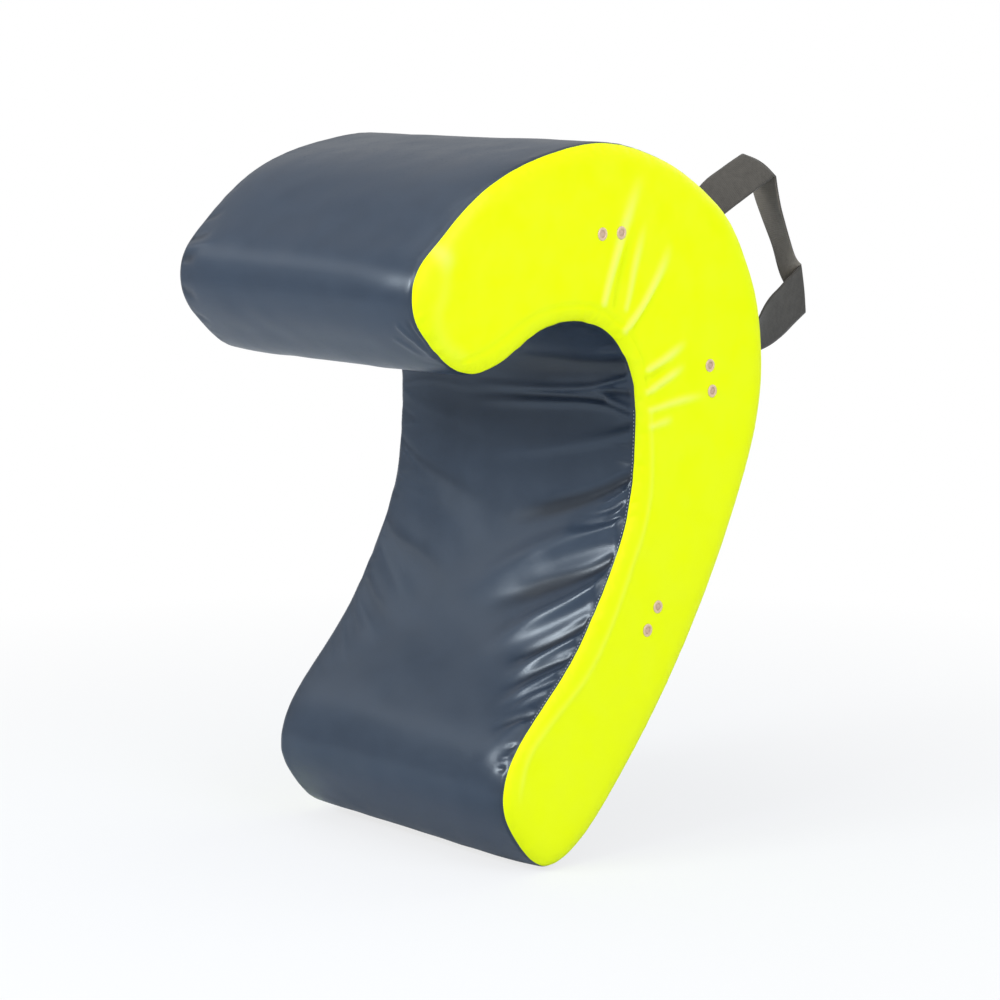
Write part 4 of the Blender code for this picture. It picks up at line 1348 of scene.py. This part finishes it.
back_rows = [
    straight_row(((walk, -ROW_END), (walk, ROW_END)), STITCH_LIFT, swell_width)
    for walk, swell_width in (
        (YOKE_SEAM - SEAM_AWAY, BACK_SWELL), (HEEL_SEAM + SEAM_AWAY, 2 * SEAM_X),
        (CROWN_SEAM + SEAM_AWAY, BACK_SWELL),
    )
]
for _, sign in SIDES:
    for away in ZIP_ROWS:
        ends = (YOKE_SEAM + ZIP_ROW_GAP, sign * away), (HEEL_SEAM - ZIP_ROW_GAP, sign * away)
        back_rows.append(straight_row(ends))
back_stitches = sew("back_stitches", back_rows, dark_thread)
back_faces = len(handle_stitches.data.polygons) + len(back_stitches.data.polygons)
print("stitches on the back", back_faces // BEAD_FACES)

# %% [markdown]
# The side seams are sewn inside out, and the thread shows as pale dots between the two cloths
# where the seam is under strain. The dots follow the seam line with its gathers.

# %% Sew the side seams
STITCHED_HOLLOW = (1.29, 1.68)
STITCH_INSET = 0.0016


def seam_row(sign):
    """A row of stitches along one side seam, in the hollow."""
    walk = np.arange(*STITCHED_HOLLOW, 0.002)
    groove = SEAM_GROOVE * math.exp(-((STITCH_INSET / GROOVE_WIDTH) ** 2))
    lift = seam_dip(walk, sign) * math.exp(-STITCH_INSET / GATHER_REACH) - groove + 0.0002
    return cover_row(walk, np.full(len(walk), sign * (SEAM_X - STITCH_INSET)), lift)


seam_rows = [seam_row(sign) for _, sign in SIDES]
seam_stitches = sew("seam_stitches", seam_rows, pale_thread, 0.0042, 0.0026, 0.001)
print("stitches in the side seams", len(seam_stitches.data.polygons) // BEAD_FACES)

# %% [markdown]
# The zip's coil is nylon monofilament wound into small loops. On each tape a row of narrow
# beads, laid across the tape, gives the coil its look at a few faces each.

# %% Wind the zip's coils
COIL_WIDTH, COIL_HEIGHT, SKIN_THICKNESS, FIT_GAP = 0.003, 0.0022, 0.0012, 0.0003
COIL_PITCH, LOOP_STAGGER, COIL_SINK, COIL_APART, COIL_GAP = 0.0018, 0.00045, 0.0004, 0.0001, 0.004
LOOP_SIZE = (COIL_WIDTH / 2, 0.00062, 0.00055)
coil_lift = COIL_HEIGHT - SKIN_THICKNESS - FIT_GAP - COIL_SINK
across_tape = Vector((1, 0, 0))
loops = []
for place in np.arange(YOKE_SEAM + COIL_GAP, HEEL_SEAM - COIL_GAP, COIL_PITCH):
    for _, sign in SIDES:
        walk = np.array([place + LOOP_STAGGER * sign])
        x = np.array([sign * (COIL_WIDTH / 2 + COIL_APART)])
        (spot,), (out,) = cover_row(walk, x, coil_lift, BACK_SWELL)
        loops.append(bead_place(spot, across_tape, Vector(out).cross(across_tape), LOOP_SIZE))
zip_coils = beads("zip_coils", loops, coil_nylon)
print("coil loops", len(zip_coils.data.polygons) // BEAD_FACES)

# %% [markdown]
# An eyelet is one stamped ring: a rolled flange that lies on the cloth and a short barrel through
# it. The ring is a half section turned round, with a soft bevel on the flange. Foam swells into
# the barrel, so from outside the eyelet looks like one solid tan dot.

# %% Spin the eyelets and the foam in them
EYELET_RADIUS, EYELET_HOLE, PLUG_RADIUS, PLUG_DEPTH = 0.0075, 0.004, 0.0039, 0.006
PANEL_FACE = BODY_WIDTH / 2
EYELET_SECTION = (
    (EYELET_HOLE, -0.0022), (EYELET_HOLE, 0.0004), (0.0043, 0.00085), (0.0052, 0.0011),
    (0.0063, 0.00095), (0.0071, 0.00065), (EYELET_RADIUS, 0.0001), (0.0064, 0.0003),
    (0.0047, 0.0003), (0.0045, -0.0022),
)
PLUG_SECTION = [
    (PLUG_RADIUS * math.sin(a), 0.0012 * math.cos(a) - 0.0002)
    for a in np.linspace(0, math.pi / 2, 7)
] + [(PLUG_RADIUS, -PLUG_DEPTH), (0.0, -PLUG_DEPTH)]


def spun(bm, section, middle, sign, closed, steps=40):
    """Turns a section of (radius, height) about a line along X through a panel's point."""
    corners = [
        bm.verts.new((sign * (PANEL_FACE + height), middle[0] + radius, middle[1]))
        for radius, height in section
    ]
    edges = [bm.edges.new(pair) for pair in zip(corners, corners[1:])]
    if closed:
        edges.append(bm.edges.new((corners[-1], corners[0])))
    bmesh.ops.spin(
        bm, geom=corners + edges, cent=(0, *middle), axis=(1, 0, 0), angle=math.tau,
        steps=steps, use_merge=True,
    )
    bmesh.ops.remove_doubles(bm, verts=bm.verts[:], dist=MERGE)
    bmesh.ops.recalc_face_normals(bm, faces=bm.faces[:])


eyelets = {}
plugs = bmesh.new()
for side, sign in SIDES:
    for number, middle in enumerate(eyelet_middles, 1):
        ring = bmesh.new()
        spun(ring, EYELET_SECTION, middle, sign, True)
        ring = new_piece(f"eyelet_ring_{side}_{number}", ring, eyelet_brass)
        eyelets[f"eyelet_{side}_{number}"] = ring
        spun(plugs, PLUG_SECTION, middle, sign, False, 24)
eyelet_foam = new_piece("eyelet_foam", plugs, soft_foam)
print(len(eyelets), "eyelets")

# %% [markdown]
# The studio is plain: a white surround for the camera, a pale floor that keeps a faint shadow,
# and soft lamps. The key lamp and the fold lamp stand in front, where the nose and the folds
# catch them as long bright bands. A wide lamp on the right lights the flat side panel evenly. The
# lamp on the far side only fills, because its highlight would lie on the dark top.

# %% Build the studio
FOOT, FLOOR_RADIUS = cad_low[2], 14.0
AMBIENT_SHARE, MIRRORED_SHARE = 0.24, 0.35


def lamp(name, azimuth, elevation, distance, width, height, power, mirrored=True):
    """A soft lamp that faces the shield. One that isn't mirrored makes no highlight."""
    light = bpy.data.lights.new(name, "AREA")
    light.shape = "RECTANGLE"
    light.size, light.size_y = width, height
    light.energy = power
    lit = bpy.data.objects.new(name, light)
    lit.visible_glossy = mirrored
    link_object(lit)
    a, e = math.radians(azimuth), math.radians(elevation)
    way = Vector((math.sin(a) * math.cos(e), -math.cos(a) * math.cos(e), math.sin(e)))
    lit.location = VIEW_TARGET + distance * way
    lit.rotation_euler = way.to_track_quat("Z", "Y").to_euler()


lamp("key lamp", 8, 36, 2.8, 0.6, 0.5, 14)
lamp("fold lamp", -13, 25, 2.8, 0.9, 0.6, 46)
lamp("broad lamp", -52, 31, 3.2, 2.4, 0.8, 5.0)
lamp("side lamp", 84, 26, 2.8, 2.0, 1.6, 44)
lamp("top lamp", 20, 78, 2.6, 2.8, 2.2, 24)
lamp("rim lamp", 176, 28, 2.8, 1.4, 1.2, 18)
lamp("far side lamp", -112, 22, 3.0, 1.6, 1.4, 14, mirrored=False)

world = bpy.data.worlds.new("surround")
bpy.context.scene.world = world
world.use_nodes = True
tree = world.node_tree
seen = add_node(tree, "LightPath").outputs
clear = maths(tree, "MAXIMUM", seen["Is Camera Ray"], seen["Is Transmission Ray"])
clear = maths(tree, "MAXIMUM", clear, times(tree, seen["Is Glossy Ray"], MIRRORED_SHARE))
strength = stretched(tree, clear, 0.0, 1.0, AMBIENT_SHARE, 1.0)
back = tree.nodes["Background"]
back.inputs["Color"].default_value = (1, 1, 1, 1)
tree.links.new(strength, back.inputs["Strength"])

bm = bmesh.new()
bmesh.ops.create_circle(bm, cap_ends=True, segments=96, radius=FLOOR_RADIUS)
bmesh.ops.translate(bm, verts=bm.verts, vec=(0, 0, FOOT))
floor = new_piece("floor", bm)
floor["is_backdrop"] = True
floor_finish, tree, shader = new_material("floor", Roughness=0.9, Specular_IOR_Level=0.1)
shader.inputs["Base Color"].default_value = (0.6, 0.66, 0.74, 1)
seen = add_node(tree, "LightPath").outputs
glow = add_node(tree, "Emission", {"Color": (1, 1, 1, 1), "Strength": 1.0})
spread = add_node(
    tree, "VectorMath", {0: object_place(tree), 1: VIEW_TARGET}, operation="DISTANCE"
).outputs["Value"]
# The camera sees the floor's own shade near the shield, and more and more white further out.
share = stretched(tree, spread, 0.5, 1.6, 0.76, 1.0)
shine = times(tree, seen["Is Glossy Ray"], stretched(tree, spread, 0.7, 1.5, 0.0, 0.4))
bright = plus(tree, times(tree, seen["Is Camera Ray"], share), shine)
mixed = add_node(tree, "MixShader", {0: bright, 1: shader.outputs[0], 2: glow.outputs[0]})
tree.links.new(mixed.outputs[0], tree.nodes["Material Output"].inputs["Surface"])
floor.data.materials.append(floor_finish)
print("floor at", round(FOOT, 4))

# %% [markdown]
# Each cover, foam block, sewn piece, eyelet and row of stitches gets its finish and rides on the
# shield's body, and any imported solid it replaces is hidden. The webbing stays where it was built,
# and its imported solids are hidden. The imported washers, and the zip's tapes, slider, pull and
# stops, keep their own shapes and only get finishes.

# %% Dress and ride
STRAP_BLENDS = (
    ("upper", "handle_arm_top", "shield", "top_arm", (-0.166336, 0.014474), (-0.142, 0.0275)),
    ("grip", "handle_grip", "top_arm", "grip", (-0.034, 0.072), (-0.016, 0.022)),
    ("lower", "handle_arm_low", "grip", "low_arm", (0.01, -0.105), (-0.03, -0.125)),
)
PACKED_FINISHES = (("washer", washer_brass), ("zip_tape", zip_tape), ("zip_", zip_metal))


cushions = [
    (wrap_cover, "front_wrap", slate_vinyl), (yoke_cover, "back_yoke", slate_vinyl),
    (foam_block, "foam_core", soft_foam), (back_slab, "backing_foam", firm_foam),
]
for side, _ in SIDES:
    cushions.append((back_covers[side], f"back_panel_{side}", slate_vinyl))
    cushions.append((side_covers[side], f"side_panel_{side}", yellow_vinyl))
for piece, node, finish in cushions:
    piece.data.materials.append(finish)
    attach(piece, "shield")
    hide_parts(node)

for side, sign in SIDES:
    x = HANDLE_OFFSET * sign
    for part, node, above, below, start, end in STRAP_BLENDS:
        strap = handle_parts[side, part]
        above = above if above == "shield" else f"{above}_{side}"
        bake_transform(strap)
        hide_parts(f"{node}_{side}")

for node, piece in {**sewn, **eyelets}.items():
    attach(piece, "shield")
    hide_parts(node)
for piece, slot in (
    (handle_stitches, "dark_webbing"), (back_stitches, "slate_vinyl"),
    (seam_stitches, "slate_vinyl"), (zip_coils, "zip_tape"), (eyelet_foam, "soft_foam"),
):
    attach(piece, "shield")

finished = 0
for node in nodes:
    finish = next((finish for start, finish in PACKED_FINISHES if node.startswith(start)), None)
    if finish:
        solid = bpy.data.objects[node]
        if not solid.material_slots:
            solid.data.materials.append(finish)
        for held in solid.material_slots:
            held.material = finish
        finished += 1
replaced = len(cushions) + len(handle_parts) + len(sewn) + len(eyelets)
print(replaced, "packed solids replaced,", finished, "kept")

# %% [markdown]
# The dressed shield should be as large as the imported model, whose box was printed at the start,
# so its box is measured here too. Only the near handle's folds stick out further.

# %% Measure the dressed shield
low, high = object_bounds()
